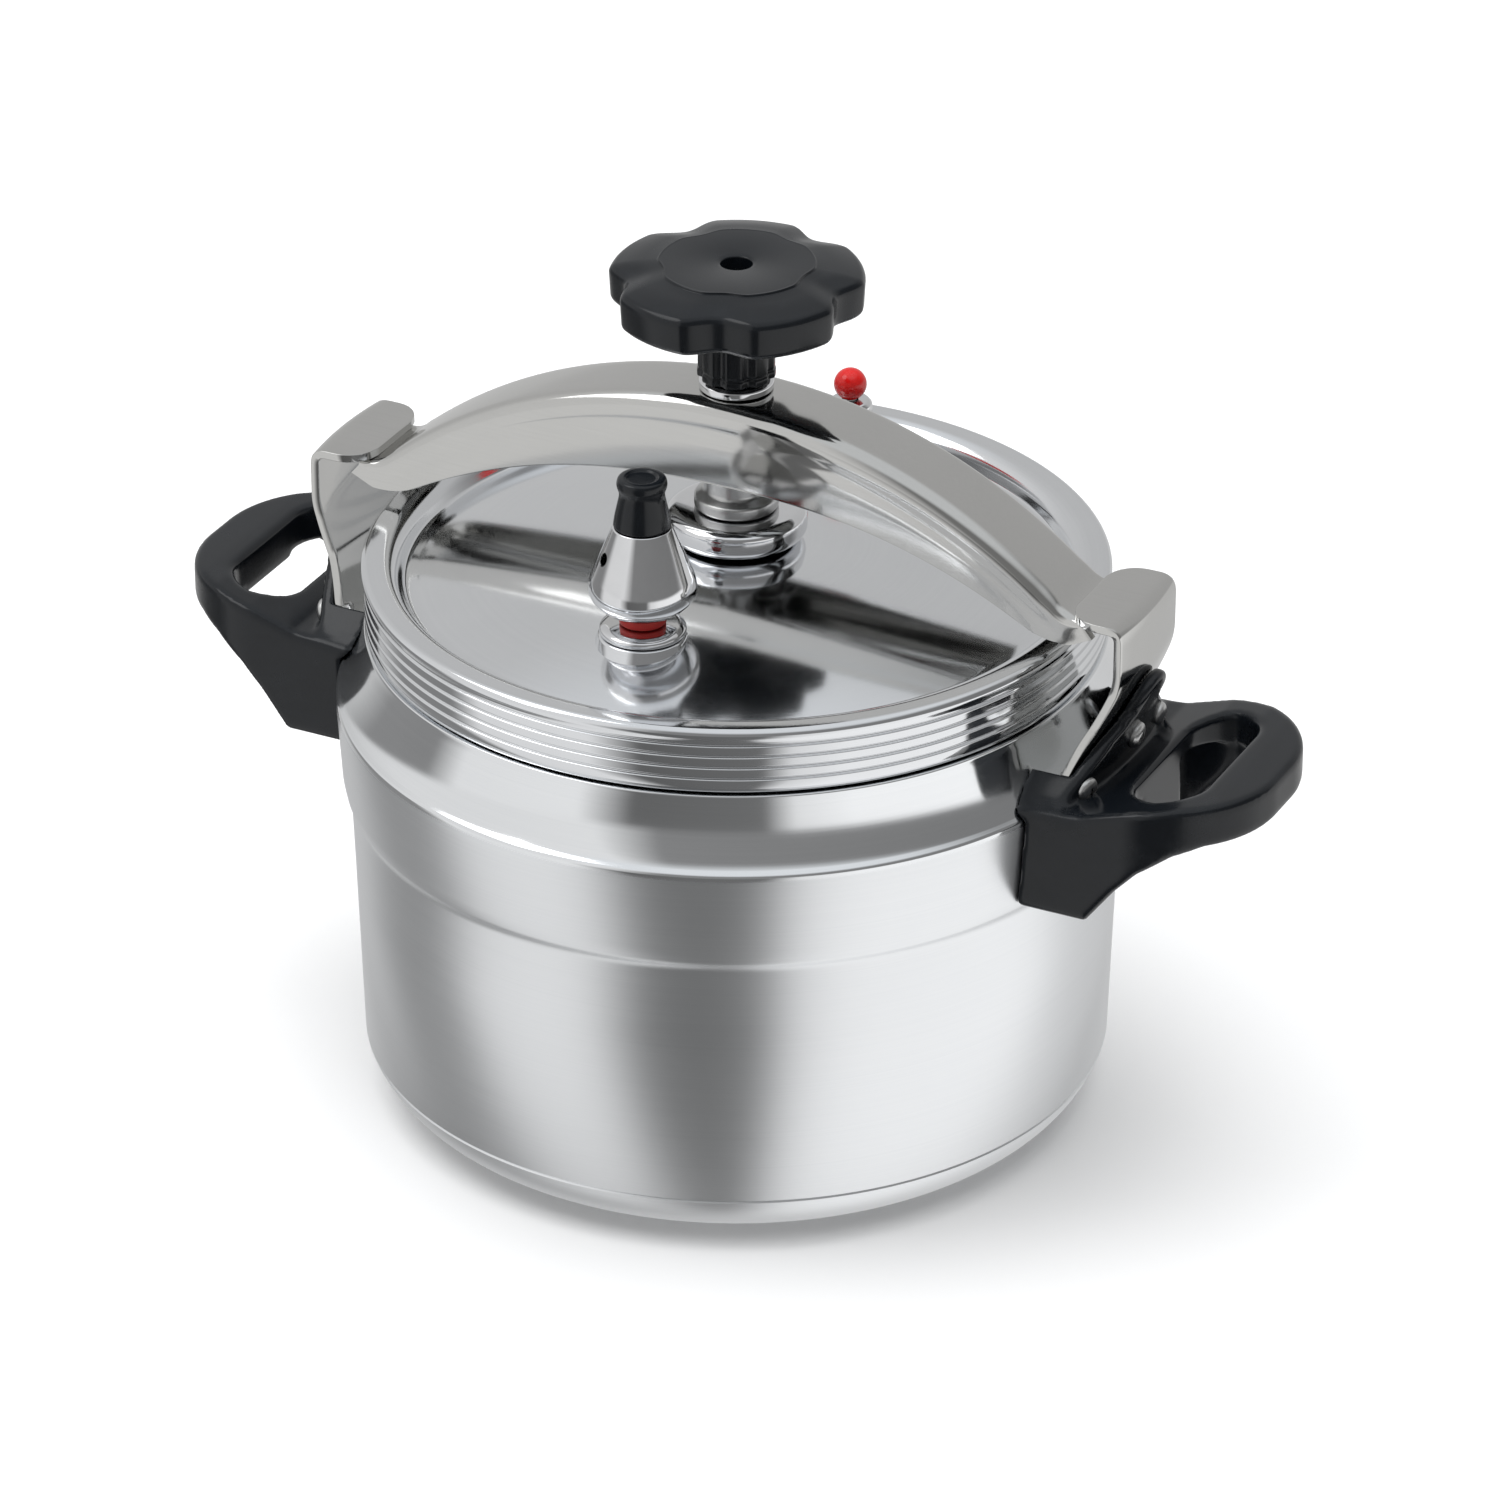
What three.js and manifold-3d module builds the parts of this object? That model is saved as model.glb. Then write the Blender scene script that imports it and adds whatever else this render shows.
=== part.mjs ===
// Clamp-lid pressure cooker: spun aluminium pot, domed lid, steel beam held under two hooks by a knob.
// Millimetres, +Z up. The origin is the centre of the base, X runs through both handles.
import * as THREE from 'three';
import { mergeVertices } from 'three/addons/utils/BufferGeometryUtils.js';
import Module from 'manifold-3d';

const wasm = await Module();
wasm.setup();

// ---- driving dimensions ----
const GAP = 0.4; // clearance between pieces that touch
const ROUND_SIDES = 32; // facets round the large turned pieces
const SMALL_SIDES = 12; // facets round the small ones

const BAND_R = 124; // outer radius of the upper band
const RIM_Z = 172; // height of the pot
const POT_WALL = 2.6;
const POT_FLOOR = 3.6;
const BAND_STEP = 4; // how far the band stands out from the top of the lower wall
const CORNER_INSET = 6.7; // from the band to where the base corner meets the wall
const CORNER_HEIGHT = 18;
const BASE_INSET = 27; // from the band to the edge of the flat base
const BAND_HEIGHT = 32.6;
const COVE_HEIGHT = 22.3;
const COVE_INSET = 9;
const NECK_HEIGHT = 15.1;
const NECK_INSET = 14.8; // from the band to the neck that the lid skirt covers
const NECK_WALL = 3.2;

const LID_THICK = 2.6;
const LID_CROWN = 14; // rise of the dome above its edge
const DISC_INSET = 4.6; // from the inside of the neck to the edge of the dome
const SKIRT_CLEARANCE = 1.7;
const SKIRT_WALL = 2.4;
const SKIRT_LENGTH = 18.3;
const SKIRT_RIB = 1.1;
const SKIRT_RIBS = 4;
const GASKET_HEIGHT = 3.4;
const LID_CREST = 2.8; // lid metal above the gasket

const HOOK_THICK = 2.6;
const HOOK_STANDOFF = 15.4; // from the band to the outer face of the upright part
const HOOK_REACH = 20.4; // how far the flap reaches in
const HOOK_DROP = 27.6; // foot of the hook below the crease
const HOOK_TOP_HALF = 20.5;
const HOOK_FOOT_HALF = 31.6;
const HOOK_FOLD_R = 5.3;

const BEAM_HALF = 15.5;
const BEAM_THICK = 2.5;
const BEAM_RISE = 45.2; // crown above the tongues
const BEAM_TOE_RISE = 4.66; // end of the arch above the tongues
const BEAM_DEPTH = 26.5; // flange depth at the crown
const BEAM_LIFT = 11.9; // tongues above the lid's crest
const TONGUE_LENGTH = 11.5;
const TONGUE_OVERLAP = 4.5; // how far a tongue reaches under the flap
const FLANGE_TIP = 2.7; // flange tips beyond the tongues

const SCREW_R = 6;
const RUNNING = 0.4; // radial clearance of the screw in its bush and foot
const FOOT_R = 13;
const FOOT_HEIGHT = 10.7;
const BUSH_WALL = 5.5;
const BUSH_COLLAR = 3.2;
const KNOB_R = 39;
const KNOB_HEIGHT = 15.6;
const KNOB_SCALLOPS = 5;
const KNOB_SCALLOP_DEPTH = 5.4;
const HUB_WALL = 3;
const HUB_LENGTH = 21.6;
const HUB_FLUTES = 10;
const INSERT_WALL = 3;

const BOSS_R = 22;
const BOSS_HEIGHT = 9.6;
const VENT_INSET = 38.4; // from the edge of the dome to the vent's axis
const VENT_HOLE_R = 5.3;
const WEIGHT_R = 16.5;
const WEIGHT_HEIGHT = 28.6;
const WEIGHT_CAP_HEIGHT = 16;
const SAFETY_INSET = 21.4;
const SAFETY_HOLE_R = 6.2;
const FLOAT_R = 5.2;
const FLOAT_TRAVEL = 4;

const HANDLE_REACH = 60; // from the band to the end of the loop
const HANDLE_HALF = 42;
const HANDLE_ARM = 11;
const HANDLE_GRIP = 16; // width of the outer bar
const HANDLE_GRIP_HEIGHT = 13;
const HANDLE_LIFT = 13.4; // top of the loop above the crease
const HANDLE_DROP = 29.6; // feet below the crease
const LOOP_CORNER = 38;
const GUSSET_HALF = 15; // half width of the rib under the middle of each loop
const OPENING_CORNER = 16;
const BACKPLATE_THICK = 4.7;
const BACKPLATE_LIFT = 36.9; // top of the tab above the crease
const BACKPLATE_TAB_HALF = 10;

const RIVET_R = 3;
const RIVET_HEAD_R = 5;
const RIVET_SEAT = 0.6; // from the inner wall's flats to the inner heads
const HANDLE_SCREW_R = 2.3;
const FASTENER_INSET = 7.4; // from the hook's side edge to its outer rivets and screws

// ---- derived radii ----
const WALL_R = BAND_R - BAND_STEP;
const BASE_CORNER_R = BAND_R - CORNER_INSET;
const BASE_FLAT_R = BAND_R - BASE_INSET;
const SHOULDER_R = BAND_R - COVE_INSET;
const NECK_R = BAND_R - NECK_INSET;
const DISC_R = NECK_R - NECK_WALL - DISC_INSET;
const SKIRT_R = NECK_R + SKIRT_CLEARANCE + SKIRT_WALL;
const HOOK_R = BAND_R + HOOK_STANDOFF;
const HOOK_LEAN = HOOK_R - BAND_R - GAP - HOOK_THICK; // how far the hook's upright part stands out
const TONGUE_R = HOOK_R - HOOK_REACH + TONGUE_OVERLAP;
const FLANGE_TIP_R = TONGUE_R + FLANGE_TIP;
const BUSH_R = SCREW_R + BUSH_WALL;
const INSERT_R = SCREW_R + INSERT_WALL;
const HUB_R = INSERT_R + HUB_WALL;
const VENT_Y = VENT_INSET - DISC_R;
const SAFETY_Y = DISC_R - SAFETY_INSET;
const HANDLE_END_X = BAND_R + HANDLE_REACH;
const FASTENER_ANGLE = Math.asin((HOOK_FOOT_HALF - FASTENER_INSET) / BAND_R);
const FACET_DEPTH = BAND_R * (1 - Math.cos(Math.PI / ROUND_SIDES)); // flats below the true round of the band

// ---- derived levels ----
const SHOULDER_Z = RIM_Z - NECK_HEIGHT;
const CREASE_Z = SHOULDER_Z - COVE_HEIGHT;
const GROOVE_Z = CREASE_Z - BAND_HEIGHT;
const SEAL_Z = RIM_Z + GAP;
const LID_UNDER_Z = SEAL_Z + GASKET_HEIGHT + GAP; // underside of the lid's crest
const CREST_Z = LID_UNDER_Z + LID_CREST;
const DISC_EDGE_Z = CREST_Z - 7;
const DOME_Z = DISC_EDGE_Z + LID_CROWN;
const BOSS_TOP_Z = DOME_Z + GAP + BOSS_HEIGHT;
const FOOT_Z = BOSS_TOP_Z + GAP;
const TONGUE_Z = CREST_Z + BEAM_LIFT; // top of the beam's tongues
const FLAP_UNDER_Z = TONGUE_Z + GAP;
const HOOK_TOP_Z = FLAP_UNDER_Z + HOOK_THICK;
const HOOK_FOOT_Z = CREASE_Z - HOOK_DROP;
const CROWN_Z = TONGUE_Z + BEAM_RISE;
const BUSH_TOP_Z = CROWN_Z + GAP + BUSH_COLLAR;
const HUB_Z = BUSH_TOP_Z + 0.7;
const KNOB_Z = HUB_Z + HUB_LENGTH;
const HANDLE_TOP_Z = CREASE_Z + HANDLE_LIFT;
const HANDLE_UNDER_Z = HANDLE_TOP_Z - HANDLE_GRIP_HEIGHT;
const HANDLE_FOOT_Z = CREASE_Z - HANDLE_DROP;
const BACKPLATE_TOP_Z = CREASE_Z + BACKPLATE_LIFT;

// ---- finishes ----
function finish(color, roughness, metalness) {
  return { color, roughness, metalness };
}
const ALUMINIUM = finish(0xc4c8cc, 0.3, 1);
const STEEL = finish(0xb9b6ae, 0.18, 1);
const CHROME = finish(0xd8d8da, 0.1, 1);
const BAKELITE = finish(0x16181c, 0.35, 0);
const RED = finish(0xb81414, 0.3, 0);
const RUBBER = finish(0x2c2c2c, 0.8, 0);

// ---- solids ----
function signedVolume(position, index) {
  const a = new THREE.Vector3();
  const b = new THREE.Vector3();
  const c = new THREE.Vector3();
  let total = 0;
  for (let i = 0; i < index.length; i += 3) {
    a.fromBufferAttribute(position, index[i]);
    b.fromBufferAttribute(position, index[i + 1]);
    c.fromBufferAttribute(position, index[i + 2]);
    total += a.dot(b.cross(c)) / 6;
  }
  return total;
}

// A three.js geometry as a solid, with the slivers at a lathe's poles left out.
function solid(geometry) {
  geometry.deleteAttribute('normal');
  geometry.deleteAttribute('uv');
  const merged = mergeVertices(geometry, 1e-4);
  const index = [];
  for (let i = 0; i < merged.index.count; i += 3) {
    const tri = [merged.index.getX(i), merged.index.getX(i + 1), merged.index.getX(i + 2)];
    if (new Set(tri).size === 3) {
      index.push(...tri);
    }
  }
  if (signedVolume(merged.attributes.position, index) < 0) {
    index.reverse();
  }
  return new wasm.Manifold(new wasm.Mesh({
    numProp: 3,
    vertProperties: new Float32Array(merged.attributes.position.array),
    triVerts: new Uint32Array(index),
  }));
}

function geometryOf(manifold) {
  const mesh = manifold.getMesh();
  const geometry = new THREE.BufferGeometry();
  geometry.setAttribute('position', new THREE.BufferAttribute(new Float32Array(mesh.vertProperties), 3));
  geometry.setIndex(new THREE.BufferAttribute(new Uint32Array(mesh.triVerts), 1));
  geometry.computeVertexNormals();
  return geometry;
}

// Turned about Z: a half-section of [radius, height] points that starts and ends on the axis or closes.
function turned(section, sides = ROUND_SIDES) {
  const points = section.map(([r, z]) => new THREE.Vector2(r, z));
  if (section[0][0] > 0 || section.at(-1)[0] > 0) {
    points.push(points[0].clone());
  }
  const geometry = new THREE.LatheGeometry(points, sides);
  geometry.rotateX(Math.PI / 2);
  geometry.rotateZ(Math.PI / 2);
  return solid(geometry);
}

function cylinder(radius, low, high, sides = SMALL_SIDES) {
  return turned([[0, low], [radius, low], [radius, high], [0, high]], sides);
}

const AXES = {
  x: [new THREE.Vector3(0, 1, 0), new THREE.Vector3(0, 0, 1), new THREE.Vector3(1, 0, 0)],
  y: [new THREE.Vector3(1, 0, 0), new THREE.Vector3(0, 0, 1), new THREE.Vector3(0, -1, 0)],
  z: [new THREE.Vector3(1, 0, 0), new THREE.Vector3(0, 1, 0), new THREE.Vector3(0, 0, 1)],
};

// An outline pushed along an axis; along Y it is symmetric, so low and high are minus and plus one width.
function prism(outline, axis, low, high) {
  const shape = new THREE.Shape(outline.map(([u, v]) => new THREE.Vector2(u, v)));
  const geometry = new THREE.ExtrudeGeometry(shape, { depth: high - low, bevelEnabled: false });
  geometry.translate(0, 0, low);
  geometry.applyMatrix4(new THREE.Matrix4().makeBasis(...AXES[axis]));
  return solid(geometry);
}

function polygon(radius, sides) {
  const turn = 2 * Math.PI / sides;
  return Array.from({ length: sides }, (_, i) => [radius * Math.cos(i * turn), radius * Math.sin(i * turn)]);
}

function bend(from, control, to, steps) {
  const curve = new THREE.QuadraticBezierCurve(
    new THREE.Vector2(...from),
    new THREE.Vector2(...control),
    new THREE.Vector2(...to),
  );
  return curve.getPoints(steps).map((p) => [p.x, p.y]);
}

// Both halves of an outline that is symmetric about its first axis value 0.
function mirrored(half) {
  const other = half.map(([u, v]) => [-u, v]).reverse();
  return [...half, ...other];
}

function moved(manifold, x, y, z) {
  return manifold.translate([x, y, z]);
}

// A piece made along +Z, laid on its side with +Z pointing out along the given direction.
function aimed(manifold, angle, lean, r, z) {
  const degrees = 180 / Math.PI;
  const laid = manifold.rotate([0, 90 + lean * degrees, 0]).translate([r, 0, z]);
  return laid.rotate([0, 0, angle * degrees]);
}

const cooker = new THREE.Group();

function add(name, manifold, look, turn = 0) {
  const mesh = new THREE.Mesh(geometryOf(manifold), new THREE.MeshStandardMaterial(look));
  mesh.name = name;
  mesh.rotation.z = turn;
  cooker.add(mesh);
}

// ---- pot ----
function potOuter() {
  return [
    ...bend([BASE_FLAT_R, 0], [BASE_CORNER_R - 5, 3.5], [BASE_CORNER_R, CORNER_HEIGHT], 5),
    [WALL_R, GROOVE_Z - 1],
    [WALL_R + 0.3, GROOVE_Z],
    [BAND_R - 2.2, GROOVE_Z + 2],
    [BAND_R, CREASE_Z - 2.6],
    [BAND_R, CREASE_Z],
    ...bend([BAND_R - 0.6, CREASE_Z + 0.9], [SHOULDER_R + 2, CREASE_Z + 6.5], [SHOULDER_R, SHOULDER_Z], 5),
  ];
}

// Outer radius of the upper band at a height between the groove and the crease.
function bandRadius(z) {
  const share = (z - GROOVE_Z - 2) / (CREASE_Z - 2.6 - GROOVE_Z - 2);
  return BAND_R - 2.2 + 2.2 * THREE.MathUtils.clamp(share, 0, 1);
}

function potInner() {
  const corner = bend(
    [BASE_CORNER_R - POT_WALL, CORNER_HEIGHT],
    [BASE_CORNER_R - 5 - POT_WALL, POT_FLOOR + 2],
    [BASE_FLAT_R, POT_FLOOR],
    4,
  );
  const cove = bend(
    [SHOULDER_R - POT_WALL - 0.6, SHOULDER_Z - POT_WALL],
    [SHOULDER_R - 1, CREASE_Z + 6],
    [BAND_R - POT_WALL - 0.6, CREASE_Z - 1],
    4,
  );
  return [
    [NECK_R - NECK_WALL, SHOULDER_Z + 1],
    ...cove,
    [BAND_R - 2.2 - POT_WALL, GROOVE_Z + 2],
    [WALL_R - POT_WALL, GROOVE_Z - 1],
    ...corner,
  ];
}

function potBody() {
  const rimRound = 1.2;
  let body = turned([
    [0, 0],
    ...potOuter(),
    [NECK_R, SHOULDER_Z],
    [NECK_R, RIM_Z - rimRound],
    [NECK_R - rimRound, RIM_Z],
    [NECK_R - NECK_WALL + rimRound, RIM_Z],
    [NECK_R - NECK_WALL, RIM_Z - rimRound],
    ...potInner(),
    [0, POT_FLOOR],
  ]);
  for (const turn of [0, Math.PI]) {
    for (const { angle, z } of RIVETS) {
      body = body.subtract(aimed(cylinder(RIVET_R + GAP, -8, 8), angle + turn, 0, bandRadius(z), z));
    }
  }
  return body;
}

// ---- hooks: upright plates riveted to the band, bent in over the beam's tongues ----
function hookOuter(spread, drop) {
  const outer = BAND_R + GAP + HOOK_THICK + spread;
  const top = HOOK_TOP_Z + spread;
  const fold = HOOK_FOLD_R;
  return [
    [outer, HOOK_FOOT_Z - drop],
    [outer, CREASE_Z + 2.4],
    [outer + HOOK_LEAN * 0.29, CREASE_Z + 18.4],
    [outer + HOOK_LEAN * 0.73, CREASE_Z + 30.4],
    [outer + HOOK_LEAN, CREASE_Z + 39.4],
    ...bend([outer + HOOK_LEAN, top - fold], [outer + HOOK_LEAN, top], [outer + HOOK_LEAN - fold, top], 4),
  ];
}

function hookInner() {
  const inner = BAND_R + GAP;
  const fold = HOOK_FOLD_R;
  return [
    [HOOK_R - HOOK_REACH - 8, HOOK_TOP_Z],
    [HOOK_R - HOOK_REACH - 8, FLAP_UNDER_Z],
    ...bend(
      [inner + HOOK_LEAN - fold, FLAP_UNDER_Z],
      [inner + HOOK_LEAN, FLAP_UNDER_Z],
      [inner + HOOK_LEAN, HOOK_TOP_Z - fold],
      3,
    ),
    [inner + HOOK_LEAN, CREASE_Z + 40],
    [inner + HOOK_LEAN * 0.73, CREASE_Z + 31],
    [inner + HOOK_LEAN * 0.29, CREASE_Z + 19],
    [inner, CREASE_Z + 2.8],
    [inner, HOOK_FOOT_Z],
  ];
}

// Everything inside the hook's outer face, or inside that face moved out by a spread.
function hookCore(spread, drop) {
  const outer = hookOuter(spread, drop);
  return turned([[0, outer[0][1]], ...outer, [0, outer.at(-1)[1]]]);
}

function hookOutline(spread, drop) {
  return mirrored([
    [HOOK_FOOT_HALF - 4 + spread, HOOK_FOOT_Z - drop],
    [HOOK_FOOT_HALF + spread, HOOK_FOOT_Z + 6 - drop],
    [HOOK_FOOT_HALF + spread, CREASE_Z + 5],
    [HOOK_FOOT_HALF - 3.4 + spread, CREASE_Z + 13],
    [HOOK_TOP_HALF + 1.9 + spread, CREASE_Z + 24],
    [HOOK_TOP_HALF + spread, CREASE_Z + 36],
    [HOOK_TOP_HALF + spread, HOOK_TOP_Z - 5],
    [HOOK_TOP_HALF - 3 + spread, HOOK_TOP_Z + 5],
  ]);
}

function hookBlank() {
  const outline = prism(hookOutline(0, 0), 'x', NECK_R - 20, HANDLE_END_X);
  return turned([...hookOuter(0, 0), ...hookInner()]).intersect(outline);
}

function hookClearance() {
  return hookCore(GAP, 1.5).intersect(prism(hookOutline(GAP, 1.5), 'x', NECK_R - 20, HANDLE_END_X));
}

// Cuts the flap's inner edge straight with rounded corners.
function flapTrim() {
  const edge = HOOK_R - HOOK_REACH;
  const curve = bend([edge, 9], [edge + 1.2, HOOK_TOP_HALF - 0.5], [edge + 12, HOOK_TOP_HALF + 2], 5);
  const side = [...curve, [edge - 30, HOOK_TOP_HALF + 2]];
  const outline = [...side, ...side.map(([x, y]) => [x, -y]).reverse()];
  return prism(outline, 'z', FLAP_UNDER_Z - 3, HOOK_TOP_Z + 3);
}

// Outer radius of the hook's lower, leaning part and its lean at the height of a handle screw.
function hookFace(z) {
  const foot = BAND_R + GAP + HOOK_THICK;
  const rise = HOOK_LEAN * 0.29;
  const lean = Math.atan2(rise, 16);
  return { r: foot + rise * (z - CREASE_Z - 2.4) / 16, lean };
}

const RIVETS = [
  { angle: -FASTENER_ANGLE, z: CREASE_Z - 9 },
  { angle: FASTENER_ANGLE, z: CREASE_Z - 9 },
  { angle: 0, z: CREASE_Z - 20 },
];
const HANDLE_SCREWS = [
  { angle: -FASTENER_ANGLE, z: CREASE_Z + 8 },
  { angle: FASTENER_ANGLE, z: CREASE_Z + 8 },
  { angle: 0, z: CREASE_Z + 15 },
];

function rivetHole(rivet) {
  return aimed(cylinder(RIVET_R + GAP, -10, 10), rivet.angle, 0, BAND_R, rivet.z);
}

function screwHole(screw) {
  const face = hookFace(screw.z);
  return aimed(cylinder(HANDLE_SCREW_R + GAP, -10, 16), screw.angle, face.lean, face.r, screw.z);
}

function hook() {
  let plate = hookBlank().subtract(flapTrim());
  for (const rivet of RIVETS) {
    plate = plate.subtract(rivetHole(rivet));
  }
  for (const screw of HANDLE_SCREWS) {
    plate = plate.subtract(screwHole(screw));
  }
  return plate;
}

// Shank through the wall and the plate, a flat head inside the pot and one on the plate.
function hookRivet(rivet) {
  const headIn = bandRadius(rivet.z) - POT_WALL - FACET_DEPTH - RIVET_SEAT;
  const headOut = BAND_R + GAP + HOOK_THICK + GAP;
  const body = turned([
    [0, headIn - 1.6],
    [RIVET_HEAD_R - 1.4, headIn - 1.6],
    [RIVET_HEAD_R, headIn],
    [RIVET_R, headIn],
    [RIVET_R, headOut],
    [RIVET_HEAD_R, headOut],
    [RIVET_HEAD_R - 1.4, headOut + 1.6],
    [0, headOut + 1.6],
  ], 10);
  return aimed(body, rivet.angle, 0, 0, rivet.z);
}

// ---- handles: bakelite loops with a back plate that follows the hook's outer face ----
function loopOutline(halfWidth, nearX, endX, corner) {
  const tip = bend([endX - corner, halfWidth], [endX - 1, halfWidth - 2], [endX, 0], 7);
  const side = [[nearX, halfWidth], ...tip];
  return [...side, ...side.slice(0, -1).map(([x, y]) => [x, -y]).reverse()];
}

function handleSide() {
  const root = NECK_R - 1;
  const elbow = BAND_R + 26;
  return [
    [root, HANDLE_FOOT_Z],
    [elbow - 13, HANDLE_FOOT_Z],
    [elbow, HANDLE_FOOT_Z + 13],
    [HANDLE_END_X - 17, HANDLE_UNDER_Z],
    [HANDLE_END_X + 2, HANDLE_UNDER_Z],
    [HANDLE_END_X + 2, HANDLE_TOP_Z],
    [HANDLE_END_X - 16, HANDLE_TOP_Z],
    [elbow, HANDLE_TOP_Z - 3],
    [elbow - 16, HANDLE_TOP_Z - 8],
    [root, HANDLE_TOP_Z - 10],
  ];
}

function backplate() {
  const spread = GAP + BACKPLATE_THICK;
  const tabTop = bend(
    [BACKPLATE_TAB_HALF, BACKPLATE_TOP_Z - 10],
    [BACKPLATE_TAB_HALF, BACKPLATE_TOP_Z],
    [0, BACKPLATE_TOP_Z],
    5,
  );
  const outline = mirrored([
    [HANDLE_HALF - 4, HANDLE_FOOT_Z + 2],
    [HANDLE_HALF - 4, HANDLE_TOP_Z - 8],
    [HANDLE_HALF - 16, HANDLE_TOP_Z + 1],
    [BACKPLATE_TAB_HALF + 3, BACKPLATE_TOP_Z - 15],
    ...tabTop.slice(0, -1),
  ]);
  return hookCore(spread, 0).intersect(prism(outline, 'x', NECK_R - 20, HANDLE_END_X));
}

function potClearance() {
  const reach = potOuter().map(([r, z]) => [r + GAP, z]);
  const highest = [SHOULDER_R + GAP, BACKPLATE_TOP_Z + 8];
  return turned([[0, -1], [BASE_FLAT_R, -1], ...reach, highest, [0, BACKPLATE_TOP_Z + 8]]);
}

function handle() {
  const armInner = HANDLE_HALF - HANDLE_ARM;
  const [low, high] = [HANDLE_FOOT_Z - 5, HANDLE_TOP_Z + 5];
  const ring = prism(loopOutline(HANDLE_HALF, NECK_R - 1, HANDLE_END_X, LOOP_CORNER), 'z', low, high);
  let grip = ring.intersect(prism(handleSide(), 'y', -HANDLE_HALF - 5, HANDLE_HALF + 5));
  const opening = loopOutline(armInner, BAND_R + 20, HANDLE_END_X - HANDLE_GRIP, OPENING_CORNER);
  grip = grip.subtract(prism(opening, 'z', low, high));
  const [near, far] = [BAND_R + 10, HANDLE_END_X - 12];
  const under = [[near, low], [near, HANDLE_UNDER_Z], [far, HANDLE_UNDER_Z], [far, low]];
  grip = grip.subtract(prism(under, 'y', GUSSET_HALF, armInner));
  grip = grip.subtract(prism(under, 'y', -armInner, -GUSSET_HALF));
  grip = grip.add(backplate());
  grip = grip.subtract(potClearance()).subtract(hookClearance());
  for (const rivet of RIVETS) {
    const face = BAND_R + HOOK_THICK;
    grip = grip.subtract(aimed(cylinder(RIVET_HEAD_R + 1, -2, 3.4), rivet.angle, 0, face, rivet.z));
  }
  for (const screw of HANDLE_SCREWS) {
    grip = grip.subtract(screwHole(screw));
    const face = hookFace(screw.z);
    const seat = GAP + BACKPLATE_THICK - 0.6;
    grip = grip.subtract(aimed(cylinder(5, seat, 16), screw.angle, face.lean, face.r, screw.z));
  }
  return grip;
}

// Pan-head screw from the back plate into the hook.
function handleScrew(screw) {
  const face = hookFace(screw.z);
  const seat = GAP + BACKPLATE_THICK - 0.2;
  const body = turned([
    [0, -4.6],
    [HANDLE_SCREW_R - 0.4, -4.6],
    [HANDLE_SCREW_R, -4],
    [HANDLE_SCREW_R, seat],
    [4.3, seat],
    [3.9, seat + 1.7],
    [2, seat + 2.5],
    [0, seat + 2.5],
  ], 10);
  return aimed(body, screw.angle, face.lean, face.r, screw.z);
}

// ---- lid ----
function domeZ(r) {
  return DOME_Z - LID_CROWN * (r / DISC_R) ** 2;
}

function skirtRibs() {
  const top = CREST_Z - 4;
  const bottom = LID_UNDER_Z - SKIRT_LENGTH;
  const pitch = (top - bottom) / SKIRT_RIBS;
  const points = [];
  for (let i = 0; i < SKIRT_RIBS; i += 1) {
    const start = top - i * pitch;
    points.push([SKIRT_R, start]);
    points.push([SKIRT_R + SKIRT_RIB, start - pitch * 0.35]);
    points.push([SKIRT_R + SKIRT_RIB, start - pitch * 0.7]);
  }
  points.push([SKIRT_R, bottom]);
  return points;
}

function lidSection() {
  const rings = [0.25, 0.5, 0.75, 1].map((share) => share * DISC_R);
  const bottom = LID_UNDER_Z - SKIRT_LENGTH;
  const channel = NECK_R - NECK_WALL - 0.6; // outer side of the sunk disc, inside the neck
  return [
    [0, DOME_Z],
    ...rings.map((r) => [r, domeZ(r)]),
    [DISC_R + 1.2, DISC_EDGE_Z + 2.6],
    [DISC_R + 3.2, CREST_Z - 1.2],
    [DISC_R + 5.9, CREST_Z],
    [SKIRT_R + 0.9, CREST_Z],
    [SKIRT_R + 2.3, CREST_Z - 1.6],
    [SKIRT_R + 2, CREST_Z - 3.2],
    ...skirtRibs(),
    [SKIRT_R - SKIRT_WALL, bottom],
    [SKIRT_R - SKIRT_WALL, LID_UNDER_Z],
    [channel, LID_UNDER_Z],
    [channel, DISC_EDGE_Z - 0.6],
    [channel - 1.4, DISC_EDGE_Z - LID_THICK],
    ...rings.slice(0, -1).reverse().map((r) => [r, domeZ(r) - LID_THICK]),
    [0, DOME_Z - LID_THICK],
  ];
}

// A flat round seat on the dome, with its hole, for a valve standing at y.
function seated(lid, y, seatR, holeR) {
  const level = domeZ(Math.abs(y)) + 1;
  const pad = moved(cylinder(seatR, level - 3.4, level, 24), 0, y, 0);
  const above = moved(cylinder(seatR, level, level + 10, 24), 0, y, 0);
  const hole = moved(cylinder(holeR, level - 20, level + 10), 0, y, 0);
  return lid.add(pad).subtract(above).subtract(hole);
}

function seatLevel(y) {
  return domeZ(Math.abs(y)) + 1;
}

const VENT_SEAT_R = 14.5;
const SAFETY_SEAT_R = 11;

function lid() {
  let body = turned(lidSection());
  body = seated(body, VENT_Y, VENT_SEAT_R, VENT_HOLE_R);
  body = seated(body, SAFETY_Y, SAFETY_SEAT_R, SAFETY_HOLE_R);
  return body.subtract(cylinder(RIVET_R + GAP, DOME_Z - 20, DOME_Z + 5));
}

function lidGasket() {
  const inner = NECK_R - NECK_WALL - 0.2;
  const outer = SKIRT_R - SKIRT_WALL - GAP;
  return turned([
    [inner, SEAL_Z],
    [outer, SEAL_Z],
    [outer, SEAL_Z + GASKET_HEIGHT],
    [inner, SEAL_Z + GASKET_HEIGHT],
  ]);
}

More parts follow.
